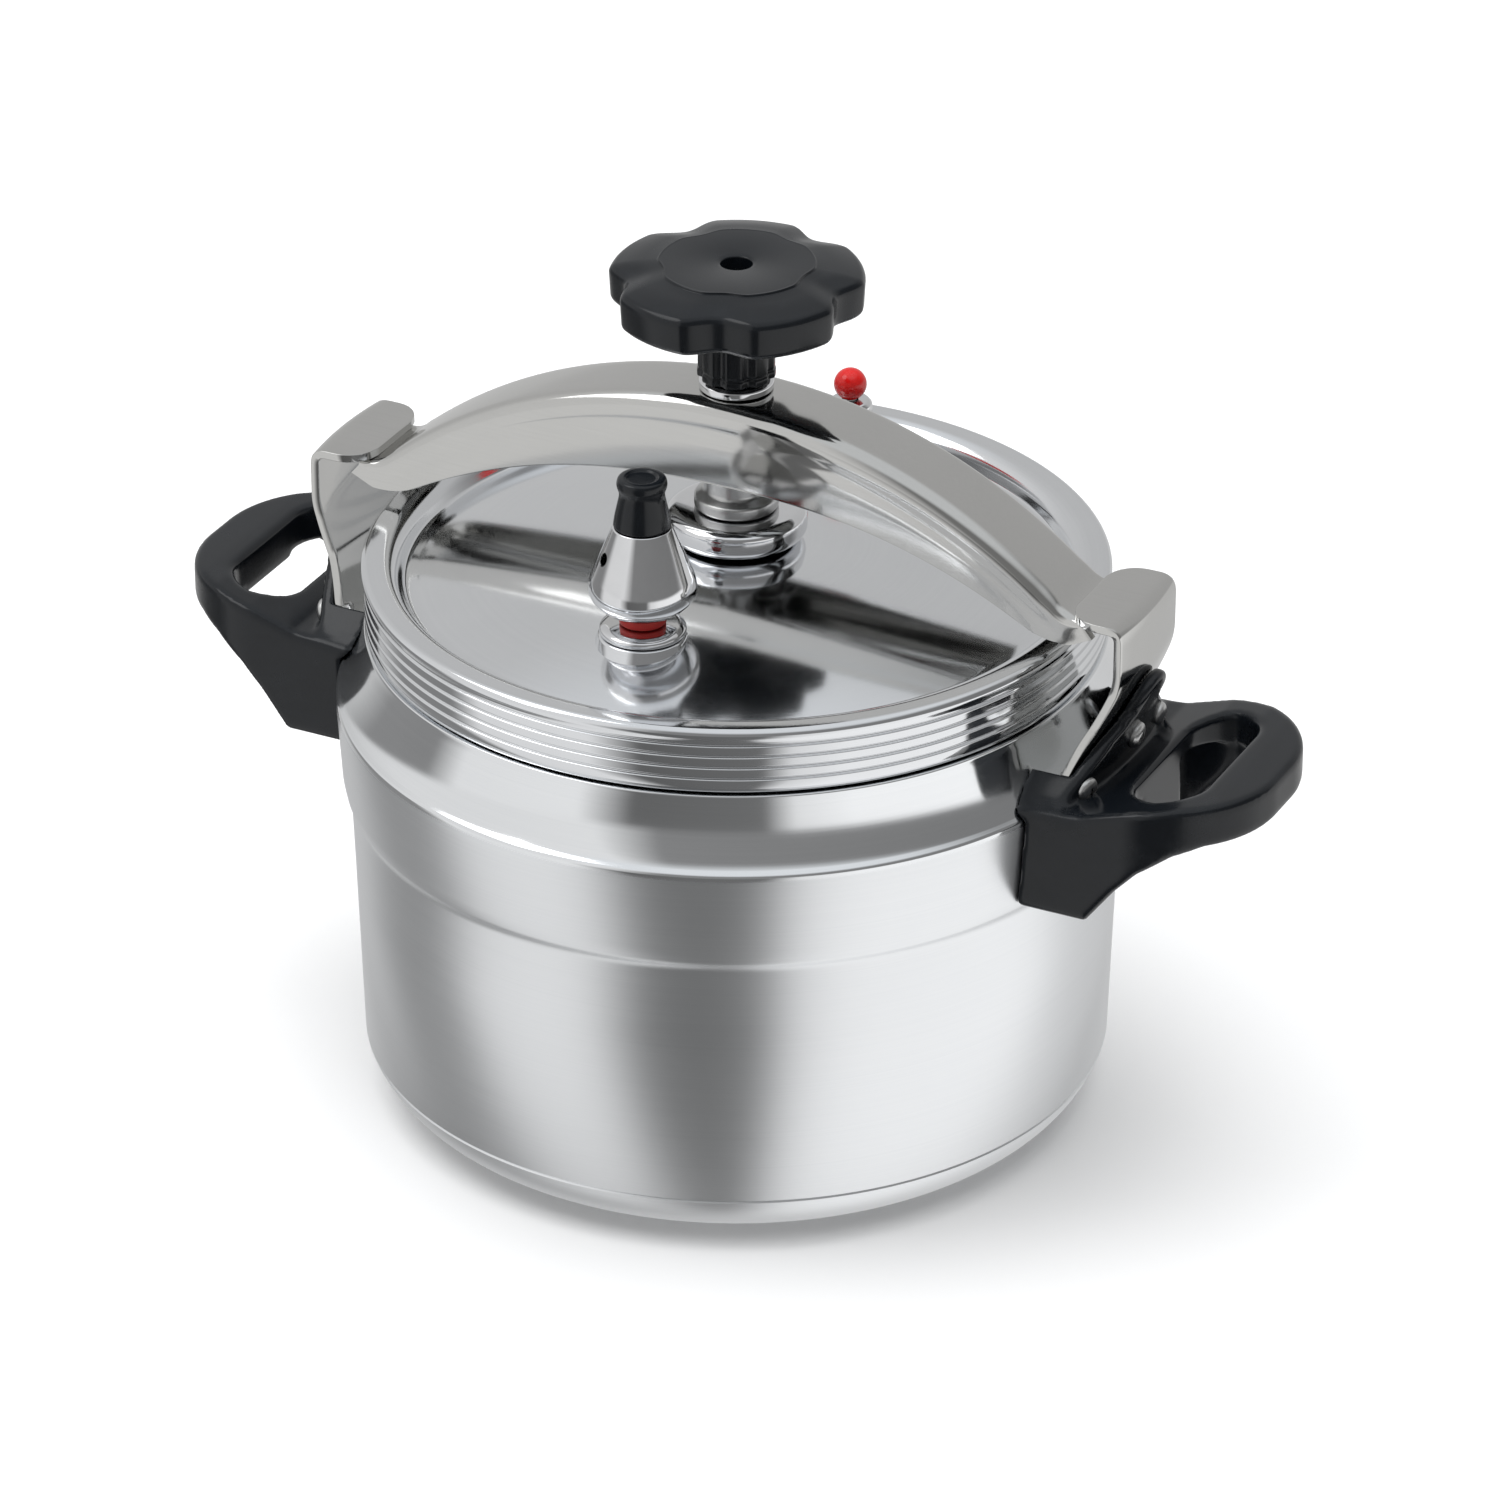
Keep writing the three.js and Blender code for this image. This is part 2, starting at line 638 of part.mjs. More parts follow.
function centerBoss() {
  const low = DOME_Z + GAP;
  const top = BOSS_TOP_Z;
  return turned([
    [RIVET_R + GAP, low],
    [BOSS_R - 3, low],
    [BOSS_R - 0.5, low + 1.2],
    [BOSS_R, low + 3.6],
    [BOSS_R - 0.3, top - 2.4],
    [BOSS_R - 2, top - 0.3],
    [BOSS_R - 4, top],
    [6.4, top],
    [6.4, top - 2.2],
    [RIVET_R + GAP, top - 2.2],
  ], 20);
}

function bossRivet() {
  const headTop = BOSS_TOP_Z - 0.4;
  const headLow = BOSS_TOP_Z - 2.2 + 0.2;
  const under = DOME_Z - LID_THICK - 0.2;
  return turned([
    [0, under - 2],
    [4, under - 2],
    [5.5, under],
    [RIVET_R, under],
    [RIVET_R, headLow],
    [5.8, headLow],
    [5.2, headTop],
    [0, headTop],
  ]);
}

// ---- steam vent and its weight ----
const VENT_SEAT_Z = seatLevel(VENT_Y);
const STEM_TOP_Z = VENT_SEAT_Z + 27.6;
const NUT_TOP_Z = domeZ(Math.abs(VENT_Y) + 9.5) - LID_THICK - GAP;
const WEIGHT_Z = VENT_SEAT_Z + 7;
const WEIGHT_TOP_Z = WEIGHT_Z + WEIGHT_HEIGHT;
const WEIGHT_BORE_R = 3.7;
const NEEDLE_LENGTH = 4.2;

function atVent(manifold) {
  return moved(manifold, 0, VENT_Y, 0);
}

function ventStem() {
  const neck = VENT_HOLE_R - GAP;
  const thin = WEIGHT_BORE_R - 0.6;
  const bottom = NUT_TOP_Z - 5.2;
  return atVent(turned([
    [1.2, bottom],
    [neck, bottom],
    [neck, VENT_SEAT_Z + GAP],
    [13.2, VENT_SEAT_Z + GAP],
    [13.2, VENT_SEAT_Z + 2],
    [11.6, VENT_SEAT_Z + 3.2],
    [neck, VENT_SEAT_Z + 3.2],
    [neck, VENT_SEAT_Z + 7],
    [thin, VENT_SEAT_Z + 8],
    [thin, STEM_TOP_Z - 1],
    [thin - 0.8, STEM_TOP_Z],
    [1.2, STEM_TOP_Z],
  ], 16));
}

function ventSeal() {
  const low = VENT_SEAT_Z + 3.6;
  const inner = VENT_HOLE_R;
  const outer = inner + 1.9;
  return atVent(turned([[inner, low], [outer, low], [outer, low + 3], [inner, low + 3]], 16));
}

function hexNut(y, radius, bore, low, high) {
  const nut = prism(polygon(radius, 6), 'z', low, high).subtract(cylinder(bore, low - 1, high + 1));
  return moved(nut, 0, y, 0);
}

// Cap on the stem's lower end that keeps food out of the vent, with side holes for the steam.
function ventFilter() {
  const top = NUT_TOP_Z - 4.4;
  const low = top - 5;
  const inner = VENT_HOLE_R;
  let cap = turned([
    [0, low],
    [inner + 1.3, low],
    [inner + 2.7, low + 1.4],
    [inner + 2.7, top],
    [inner, top],
    [inner, low + 1.5],
    [0, low + 1.5],
  ]);
  for (let i = 0; i < 3; i += 1) {
    const hole = cylinder(0.9, 2, 12, 8);
    cap = cap.subtract(aimed(hole, i * 2 * Math.PI / 3 + Math.PI / 6, 0, 0, low + 2.8));
  }
  return atVent(cap);
}

function weightBody() {
  const low = WEIGHT_Z;
  const body = turned([
    [WEIGHT_BORE_R, low + 1.6],
    [WEIGHT_BORE_R + 2.2, low],
    [7.4, low],
    [12.2, low + 1.8],
    [WEIGHT_R - 0.9, low + 5.2],
    [WEIGHT_R, low + 8.4],
    [WEIGHT_R - 0.8, low + 11.2],
    [8.9, WEIGHT_TOP_Z],
    [WEIGHT_BORE_R, WEIGHT_TOP_Z],
  ], 16);
  const steamHole = cylinder(2, 2, 20, 12);
  const hole = aimed(steamHole, THREE.MathUtils.degToRad(-131), 0, 0, WEIGHT_TOP_Z - 9);
  return atVent(body.subtract(hole));
}

// Steel point that closes the stem's mouth while the weight is down.
function weightNeedle() {
  const low = STEM_TOP_Z + 0.3;
  return atVent(turned([
    [0, low],
    [1, low],
    [WEIGHT_BORE_R - 0.3, low + 1.6],
    [WEIGHT_BORE_R - 0.3, low + NEEDLE_LENGTH],
    [0, low + NEEDLE_LENGTH],
  ]));
}

function weightCap() {
  const spigot = WEIGHT_BORE_R - 0.3;
  const low = WEIGHT_TOP_Z + 0.3;
  const top = low + WEIGHT_CAP_HEIGHT;
  return atVent(turned([
    [0, STEM_TOP_Z + NEEDLE_LENGTH + 0.7],
    [spigot, STEM_TOP_Z + NEEDLE_LENGTH + 0.7],
    [spigot, low],
    [8.8, low],
    [8.2, low + 3],
    [6.8, top - 5],
    [7.7, top - 2.6],
    [7.2, top - 0.8],
    [5, top],
    [0, top],
  ], 16));
}

// ---- safety valve: a red-capped pin that rises with pressure ----
const SAFETY_SEAT_Z = seatLevel(SAFETY_Y);
const SAFETY_NUT_TOP_Z = domeZ(SAFETY_Y + 9.5) - LID_THICK - GAP;
const HOUSING_TOP_Z = SAFETY_SEAT_Z + 19;
const HOUSING_LOW_Z = SAFETY_NUT_TOP_Z - 4.4;
const PIN_R = 2.2;

function atSafety(manifold) {
  return moved(manifold, 0, SAFETY_Y, 0);
}

function safetySeal() {
  const low = SAFETY_SEAT_Z + 0.3;
  const inner = SAFETY_HOLE_R;
  const outer = inner + 3;
  return atSafety(turned([[inner, low], [outer, low], [outer, low + 1.4], [inner, low + 1.4]]));
}

function safetyHousing() {
  const low = SAFETY_SEAT_Z + 2;
  const hex = prism(polygon(SAFETY_HOLE_R + 3.6, 6), 'z', low, low + 5.6);
  const barrel = turned([
    [0, low + 4],
    [7, low + 4],
    [7, HOUSING_TOP_Z - 1.4],
    [5.8, HOUSING_TOP_Z],
    [0, HOUSING_TOP_Z],
  ]);
  const neck = cylinder(SAFETY_HOLE_R - GAP, HOUSING_LOW_Z, low + 2);
  const bore = cylinder(PIN_R + 0.4, HOUSING_LOW_Z - 1, HOUSING_TOP_Z + 1);
  return atSafety(hex.add(barrel).add(neck).subtract(bore));
}

const FLOAT_Z = HOUSING_TOP_Z + 0.5 + FLOAT_R * 0.9; // centre of the red cap

function floatPin() {
  const headTop = HOUSING_LOW_Z - FLOAT_TRAVEL - 0.5;
  return atSafety(turned([
    [0, headTop - 1.4],
    [4.2, headTop - 1.4],
    [4.2, headTop],
    [PIN_R, headTop],
    [PIN_R, FLOAT_Z - 1],
    [0, FLOAT_Z - 1],
  ], 10));
}

function floatCap() {
  const steps = 5;
  const start = -Math.asin(0.9);
  const arc = Array.from({ length: steps + 1 }, (_, i) => {
    const a = start + (Math.PI / 2 - start) * i / steps;
    return [i === steps ? 0 : FLOAT_R * Math.cos(a), FLOAT_Z + FLOAT_R * Math.sin(a)];
  });
  const hole = PIN_R + 0.3;
  const low = FLOAT_Z - FLOAT_R * 0.9;
  const body = turned([[0, low], ...arc.slice(1)]);
  return atSafety(body.subtract(cylinder(hole, low - 1, FLOAT_Z - 0.6)));
}

// ---- beam ----
const ARCH_HALF = TONGUE_R - TONGUE_LENGTH;
const ARCH_RISE = BEAM_RISE - BEAM_TOE_RISE;
const BEAM_ARCH_R = (ARCH_HALF ** 2 + ARCH_RISE ** 2) / (2 * ARCH_RISE);

function archZ(x, radius) {
  return CROWN_Z - BEAM_ARCH_R + Math.sqrt(radius ** 2 - x ** 2);
}

// Upper line of the web from the crown out to one tongue, or its underside when sunk by the thickness.
function webLine(sink) {
  const radius = BEAM_ARCH_R - sink;
  const foot = ARCH_HALF;
  const steps = 9;
  const arch = Array.from({ length: steps }, (_, i) => [foot * i / steps, archZ(foot * i / steps, radius)]);
  const toe = bend([foot, archZ(foot, radius)], [foot + 4.2, TONGUE_Z - sink], [TONGUE_R - 2, TONGUE_Z - sink], 4);
  return [...arch, ...toe, [TONGUE_R, TONGUE_Z - sink]];
}

// Lower edge of the flanges, from the crown to the pointed tip.
function flangeLine() {
  const low = CROWN_Z - BEAM_DEPTH;
  const end = TONGUE_R - 18.5;
  const drop = low - TONGUE_Z + 6.3;
  const steps = 7;
  const edge = Array.from({ length: steps }, (_, i) => {
    const x = end * i / steps;
    return [x, low - drop * (x / end) ** 2.354];
  });
  const toe = bend([end, low - drop], [end + 6, TONGUE_Z - 9], [TONGUE_R - 4.5, TONGUE_Z - 8.5], 4);
  return [...edge, ...toe, [FLANGE_TIP_R, TONGUE_Z - 5]];
}

function bothSides(line) {
  const left = line.slice(1).map(([x, z]) => [-x, z]).reverse();
  return [...left, ...line];
}

function clampBeam() {
  const outline = [...bothSides(webLine(0)), ...bothSides(flangeLine()).reverse()];
  const under = [
    ...bothSides(webLine(BEAM_THICK)),
    [FLANGE_TIP_R + 5, TONGUE_Z - BEAM_THICK],
    [FLANGE_TIP_R + 5, RIM_Z - 20],
    [-FLANGE_TIP_R - 5, RIM_Z - 20],
    [-FLANGE_TIP_R - 5, TONGUE_Z - BEAM_THICK],
  ];
  const inside = BEAM_HALF - BEAM_THICK;
  return prism(outline, 'y', -BEAM_HALF, BEAM_HALF)
    .subtract(prism(under, 'y', -inside, inside))
    .subtract(cylinder(BUSH_R - 3, CROWN_Z - 20, CROWN_Z + 10, 16));
}

function beamBush() {
  const bore = SCREW_R + RUNNING;
  const neck = BUSH_R - 3 - GAP;
  const webUnder = archZ(BUSH_R, BEAM_ARCH_R - BEAM_THICK);
  return turned([
    [bore, webUnder - 8.4],
    [BUSH_R - 1, webUnder - 8.4],
    [BUSH_R, webUnder - 7.4],
    [BUSH_R, webUnder - GAP],
    [neck, webUnder - GAP],
    [neck, CROWN_Z + GAP],
    [BUSH_R - 0.5, CROWN_Z + GAP],
    [BUSH_R - 0.5, BUSH_TOP_Z - 1],
    [BUSH_R - 1.8, BUSH_TOP_Z],
    [bore, BUSH_TOP_Z],
  ], 16);
}

// ---- screw, foot and knob ----
const CLIP_Z = FOOT_Z + 6.6;
const CLIP_THICK = 1.2;
const CLIP_R = SCREW_R + 2;
const LOCK_R = 4.4;
const LOCK_SEAT_Z = KNOB_Z + 6.4;
const SCREW_TOP_Z = KNOB_Z + 0.2;
const LOCK_SHANK_R = 2.4;

function clampScrew() {
  const tip = FOOT_Z + 4.6;
  const groove = SCREW_R - 1;
  const socket = LOCK_SHANK_R + 0.3;
  return turned([
    [0, tip],
    [SCREW_R - 1, tip],
    [SCREW_R, tip + 1],
    [SCREW_R, CLIP_Z - 0.3],
    [groove, CLIP_Z - 0.3],
    [groove, CLIP_Z + CLIP_THICK + 0.3],
    [SCREW_R, CLIP_Z + CLIP_THICK + 0.3],
    [SCREW_R, SCREW_TOP_Z],
    [socket, SCREW_TOP_Z],
    [socket, SCREW_TOP_Z - 7],
    [0, SCREW_TOP_Z - 7],
  ], 16);
}

function footClip() {
  const inner = SCREW_R - 0.6;
  return turned([
    [inner, CLIP_Z],
    [CLIP_R, CLIP_Z],
    [CLIP_R, CLIP_Z + CLIP_THICK],
    [inner, CLIP_Z + CLIP_THICK],
  ], 16);
}

function screwFoot() {
  const bore = SCREW_R + RUNNING;
  const top = FOOT_Z + FOOT_HEIGHT;
  const hub = CLIP_R + 1.8;
  const grooveTop = CLIP_Z + CLIP_THICK + 0.3;
  return turned([
    [0, FOOT_Z],
    [FOOT_R - 1, FOOT_Z],
    [FOOT_R, FOOT_Z + 1],
    [FOOT_R, FOOT_Z + 3.6],
    [hub, FOOT_Z + 5.6],
    [hub, top - 0.8],
    [hub - 0.8, top],
    [bore, top],
    [bore, grooveTop],
    [CLIP_R + 0.3, grooveTop],
    [CLIP_R + 0.3, CLIP_Z - 0.3],
    [bore, CLIP_Z - 0.3],
    [bore, FOOT_Z + 4.2],
    [0, FOOT_Z + 4.2],
  ], 16);
}

function knobOutline() {
  const steps = 8 * KNOB_SCALLOPS;
  return Array.from({ length: steps }, (_, i) => {
    const a = 2 * Math.PI * i / steps;
    const notch = Math.max(0, Math.cos(KNOB_SCALLOPS * a)) ** 1.4;
    const r = KNOB_R - KNOB_SCALLOP_DEPTH * notch;
    return [r * Math.cos(a), r * Math.sin(a)];
  });
}

function knob() {
  const top = KNOB_Z + KNOB_HEIGHT;
  const crown = turned([
    [0, KNOB_Z],
    [KNOB_R - 1.4, KNOB_Z],
    [KNOB_R + 0.5, KNOB_Z + 2],
    [KNOB_R + 0.5, top - 5.4],
    [KNOB_R - 1.4, top - 3.2],
    [KNOB_R - 7, top - 1.2],
    [KNOB_R - 15, top],
    [0, top],
  ]);
  const star = prism(knobOutline(), 'z', KNOB_Z - 1, top + 1).intersect(crown);
  let hub = cylinder(HUB_R, HUB_Z, KNOB_Z + 2, 16);
  for (let i = 0; i < HUB_FLUTES; i += 1) {
    const a = 2 * Math.PI * (i + 0.5) / HUB_FLUTES;
    const flute = cylinder(1.3, HUB_Z + 1.6, KNOB_Z - 0.6, 8);
    hub = hub.subtract(moved(flute, (HUB_R + 0.5) * Math.cos(a), (HUB_R + 0.5) * Math.sin(a), 0));
  }
  return star.add(hub)
    .subtract(cylinder(SCREW_R + GAP, HUB_Z - 1, SCREW_TOP_Z + GAP, 16))
    .subtract(cylinder(INSERT_R + GAP, HUB_Z + 2.6, HUB_Z + 18.8, 16))
    .subtract(cylinder(LOCK_SHANK_R + 0.3, SCREW_TOP_Z - 1, top + 1, 12))
    .subtract(cylinder(LOCK_R + GAP, LOCK_SEAT_Z, top + 1));
}

function knobInsert() {
  const bore = SCREW_R + GAP;
  const low = HUB_Z + 3;
  const top = HUB_Z + 18.4;
  return turned([[bore, low], [INSERT_R, low], [INSERT_R, top], [bore, top]], 16);
}

function knobLockScrew() {
  const seat = LOCK_SEAT_Z + 0.3;
  return turned([
    [0, SCREW_TOP_Z - 6.6],
    [LOCK_SHANK_R, SCREW_TOP_Z - 6.6],
    [LOCK_SHANK_R, seat],
    [LOCK_R, seat],
    [LOCK_R, seat + 1.4],
    [LOCK_R - 1, seat + 2.4],
    [0, seat + 2.4],
  ], 10);
}

// ---- assembly ----
add('pot_body', potBody(), ALUMINIUM);
for (const [side, turn] of [['right', 0], ['left', Math.PI]]) {
  add(`hook_${side}`, hook(), STEEL, turn);
  add(`handle_${side}`, handle(), BAKELITE, turn);
  RIVETS.forEach((rivet, i) => add(`hook_rivet_${side}_${i + 1}`, hookRivet(rivet), STEEL, turn));
  HANDLE_SCREWS.forEach((screw, i) => add(`handle_screw_${side}_${i + 1}`, handleScrew(screw), STEEL, turn));
}
add('lid', lid(), ALUMINIUM);
add('lid_gasket', lidGasket(), RUBBER);
add('center_boss', centerBoss(), CHROME);
add('boss_rivet', bossRivet(), STEEL);
add('vent_stem', ventStem(), CHROME);
add('vent_seal', ventSeal(), RED);
add('vent_nut', hexNut(VENT_Y, VENT_HOLE_R + 3.7, VENT_HOLE_R, NUT_TOP_Z - 4, NUT_TOP_Z), STEEL);
add('vent_filter', ventFilter(), STEEL);
add('weight_body', weightBody(), CHROME);
add('weight_needle', weightNeedle(), STEEL);
add('weight_cap', weightCap(), BAKELITE);
add('safety_housing', safetyHousing(), CHROME);
add('safety_seal', safetySeal(), RUBBER);
add('safety_nut', hexNut(SAFETY_Y, SAFETY_HOLE_R + 2.8, SAFETY_HOLE_R, SAFETY_NUT_TOP_Z - 3.6, SAFETY_NUT_TOP_Z), STEEL);
add('float_pin', floatPin(), STEEL);
add('float_cap', floatCap(), RED);
add('clamp_beam', clampBeam(), STEEL);
add('beam_bush', beamBush(), CHROME);
add('clamp_screw', clampScrew(), STEEL);
add('screw_foot', screwFoot(), STEEL);
add('foot_clip', footClip(), STEEL);
add('knob', knob(), BAKELITE);
add('knob_insert', knobInsert(), STEEL);
add('knob_lock_screw', knobLockScrew(), STEEL);

export default cooker;
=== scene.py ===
"""Clamp-lid pressure cooker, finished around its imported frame.

The sections follow the cooker as it is put together, from the pot up to the knob.
Outlines are written in millimetres and become metres when their mesh is made.
"""

import math

import bmesh
import bpy
import numpy as np
from mathutils import Matrix, Vector


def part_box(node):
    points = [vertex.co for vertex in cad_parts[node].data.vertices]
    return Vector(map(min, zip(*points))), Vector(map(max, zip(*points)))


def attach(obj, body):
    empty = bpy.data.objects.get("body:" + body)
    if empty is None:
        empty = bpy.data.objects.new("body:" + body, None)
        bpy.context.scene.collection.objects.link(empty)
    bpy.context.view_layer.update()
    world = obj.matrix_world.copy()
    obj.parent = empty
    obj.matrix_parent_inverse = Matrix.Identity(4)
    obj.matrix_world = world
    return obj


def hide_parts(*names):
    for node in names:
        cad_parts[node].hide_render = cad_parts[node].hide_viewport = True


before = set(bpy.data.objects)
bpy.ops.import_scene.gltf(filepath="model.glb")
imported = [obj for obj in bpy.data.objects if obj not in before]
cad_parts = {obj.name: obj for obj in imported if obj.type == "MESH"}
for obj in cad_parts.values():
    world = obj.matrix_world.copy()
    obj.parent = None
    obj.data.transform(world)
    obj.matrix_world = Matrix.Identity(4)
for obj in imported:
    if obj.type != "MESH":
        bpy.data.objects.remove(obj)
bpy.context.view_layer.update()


# ---- pot body ----
# A deep-drawn aluminium pot: a satin turned wall, a wider band above it, a polished cove and a plain neck.
# It is spun and turned in one piece, so every fine line on it runs round the axis.

MM = 0.001


def bow(start, control, end, steps=8):
    """Points of a quadratic curve from start to end, both included."""
    points = []
    for i in range(steps + 1):
        t = i / steps
        weights = ((1 - t) ** 2, 2 * t * (1 - t), t * t)
        points.append(tuple(sum(w * p[k] for w, p in zip(weights, (start, control, end))) for k in (0, 1)))
    return points


def rounded(corners, steps=4, closed=False):
    """An outline through (radius, height, fillet) corners; a corner given as a pair stays sharp."""
    points = []
    for i, corner in enumerate(corners):
        here = Vector(corner[:2])
        fillet = corner[2] if len(corner) > 2 else 0
        last = len(corners) - 1
        if not fillet or (not closed and i in (0, last)):
            points.append(tuple(here))
            continue
        before = Vector(corners[i - 1][:2]) - here
        after = Vector(corners[(i + 1) % len(corners)][:2]) - here
        reach = min(fillet, 0.48 * before.length, 0.48 * after.length)
        points += bow(here + before.normalized() * reach, here, here + after.normalized() * reach, steps)
    return points


def linked(name, data):
    """A new object in the scene that shows a mesh, a light or a camera."""
    made = bpy.data.objects.new(name, data)
    bpy.context.scene.collection.objects.link(made)
    return made


def smoothed(mesh, crease=35):
    """Smooth shading with sharp edges beyond the crease angle."""
    mesh.shade_smooth()
    mesh.set_sharp_from_angle(angle=math.radians(crease))
    return mesh


def finished_mesh(name, vertices, faces, crease=35):
    """A mesh object from millimetre vertices, welded, facing out, smooth up to the crease angle."""
    mesh = bpy.data.meshes.new(name)
    work = bmesh.new()
    made = [work.verts.new((x * MM, y * MM, z * MM)) for x, y, z in vertices]
    for face in faces:
        corners = [made[i] for i in dict.fromkeys(face)]
        if len(corners) > 2:
            work.faces.new(corners)
    bmesh.ops.remove_doubles(work, verts=work.verts, dist=1e-6)
    bmesh.ops.dissolve_degenerate(work, edges=work.edges, dist=1e-7)
    bmesh.ops.recalc_face_normals(work, faces=work.faces)
    work.to_mesh(mesh)
    work.free()
    return linked(name, smoothed(mesh, crease))


def turned(name, section, sides=128, centre=(0, 0), crease=35):
    """A piece turned about a vertical axis from a line that closes or ends on the axis."""
    count = len(section)
    vertices = []
    for i in range(sides):
        turn = 2 * math.pi * i / sides
        for r, z in section:
            vertices.append((centre[0] + r * math.cos(turn), centre[1] + r * math.sin(turn), z))
    closed = section[0][0] > 1e-6 or section[-1][0] > 1e-6
    faces = []
    for i in range(sides):
        here, there = i * count, (i + 1) % sides * count
        for k in range(count if closed else count - 1):
            n = (k + 1) % count
            faces.append((here + k, there + k, there + n, here + n))
    return finished_mesh(name, vertices, faces, crease)


def joined(name, *pieces):
    """One piece from several, as its maker would weld or mould them together."""
    work = bmesh.new()
    for piece in pieces:
        work.from_mesh(piece.data)
        bpy.data.objects.remove(piece)
    mesh = bpy.data.meshes.new(name)
    work.to_mesh(mesh)
    work.free()
    return linked(name, mesh)


class Port:
    """An output in a node tree. Arithmetic on it adds Math nodes to that tree."""

    def __init__(self, graph, socket):
        self.graph = graph
        self.socket = socket

    def out(self, name):
        return Port(self.graph, self.socket.node.outputs[name])

    def maths(self, operation, *terms):
        return self.graph.node("ShaderNodeMath", {"operation": operation}, dict(enumerate(terms)))

    def __add__(self, other):
        return self.maths("ADD", self, other)

    def __sub__(self, other):
        return self.maths("SUBTRACT", self, other)

    def __rsub__(self, other):
        return self.maths("SUBTRACT", other, self)

    def __mul__(self, other):
        return self.maths("MULTIPLY", self, other)

    def __truediv__(self, other):
        return self.maths("DIVIDE", self, other)

    def __pow__(self, other):
        return self.maths("POWER", self, other)

    __radd__ = __add__
    __rmul__ = __mul__


class Graph:
    """A node tree that is filled by calls: node() makes one node and gives its output."""

    def __init__(self, tree):
        self.tree = tree

    def node(self, kind, settings=None, inputs=None, output=0):
        made = self.tree.nodes.new(kind)
        for name, value in (settings or {}).items():
            if name == "stops":
                self.set_stops(made.color_ramp, value)
            else:
                setattr(made, name, value)
        for name, value in (inputs or {}).items():
            if isinstance(value, Port):
                self.tree.links.new(value.socket, made.inputs[name])
            else:
                made.inputs[name].default_value = value
        return Port(self, made.outputs[output]) if made.outputs else made

    def set_stops(self, ramp, stops):
        while len(ramp.elements) < len(stops):
            ramp.elements.new(1)
        for element, (place, grey) in zip(ramp.elements, stops):
            element.position = place
            element.color = (grey, grey, grey, 1)

    def place(self, stretch=(1, 1, 1)):
        """The point on the object in metres, with each axis stretched."""
        spot = self.node("ShaderNodeTexCoord", output="Object")
        return self.node("ShaderNodeVectorMath", {"operation": "MULTIPLY"}, {0: spot, 1: stretch})

    def noise(self, stretch, detail=3, roughness=0.5):
        """Smooth noise from 0 to 1, with the given number of cells in a metre along each axis."""
        inputs = {"Vector": self.place(stretch), "Scale": 1, "Detail": detail, "Roughness": roughness}
        return self.node("ShaderNodeTexNoise", {}, inputs)

    def step(self, value, low, high):
        """0 below low, 1 above high, and smooth between them."""
        ends = {"Value": value, "From Min": low, "From Max": high}
        return self.node("ShaderNodeMapRange", {"interpolation_type": "SMOOTHSTEP"}, ends)

    def tint(self, share, first, second):
        """A colour between two colours, each given as a port or as three values."""
        first, second = (c if isinstance(c, Port) else (*c, 1) for c in (first, second))
        settings = {"data_type": "RGBA", "clamp_factor": True}
        return self.node("ShaderNodeMix", settings, {0: share, 6: first, 7: second}, output=2)

    def bump(self, height, depth, strength=1):
        """A normal from a height of 0 to 1 and its depth in metres."""
        return self.node("ShaderNodeBump", {}, {"Strength": strength, "Distance": depth, "Height": height})

    def surface(self, inputs):
        shader = self.node("ShaderNodeBsdfPrincipled", {}, inputs)
        self.node("ShaderNodeOutputMaterial", {}, {"Surface": shader})


def finish(name, recipe, *values):
    """A new material whose nodes are made by a recipe."""
    material = bpy.data.materials.new(name)
    material.use_nodes = True
    material.node_tree.nodes.clear()
    recipe(Graph(material.node_tree), *values)
    return material


def dress(piece, material, body, slot, *nodes):
    """Gives a piece its finish and its body, and hides the frame nodes that it stands for. The slot is not
    used.
    """
    piece.data.materials.clear()
    piece.data.materials.append(material)
    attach(piece, body)
    if nodes:
        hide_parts(*nodes)
    return piece


def box_mm(node):
    low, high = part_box(node)
    return low / MM, high / MM


def turned_aluminium(g, satin_top):
    """Lathe-turned satin aluminium that is buffed bright above one height."""
    height = g.node("ShaderNodeSeparateXYZ", {}, {0: g.place()}).out("Z")
    buffed = g.step(height, satin_top - 0.0015, satin_top)
    lines = g.noise((5, 5, 5200), detail=2, roughness=0.7)
    bands = g.noise((3, 3, 420), detail=3)
    smudge = g.noise((22, 22, 16), detail=4, roughness=0.6)
    satin = 0.25 + lines * 0.09 + bands * 0.03 + smudge * 0.04
    bright = 0.07 + smudge * 0.05 + bands * 0.03
    g.surface({
        "Base Color": g.tint(lines * 0.6 + smudge * 0.4, (0.80, 0.82, 0.84), (0.95, 0.96, 0.97)),
        "Metallic": 1.0,
        "Roughness": bright * buffed + satin * (1 - buffed),
        "Anisotropic": 0.55,
        "Anisotropic Rotation": 0.25,
        "Normal": g.bump(lines * (1 - buffed * 0.8) + bands * 0.4, 0.000012),
    })


POT_HIGH = box_mm("pot_body")[1]
BAND_R = POT_HIGH.x
RIM_Z = POT_HIGH.z
WALL_R = BAND_R - 4
NECK_R = BAND_R - 14.8
SHOULDER_R = BAND_R - 9
CREASE_Z = RIM_Z - 37.4
GROOVE_Z = RIM_Z - 70
SHOULDER_Z = RIM_Z - 15.1
POT_WALL = 2.6
NECK_WALL = 3.2


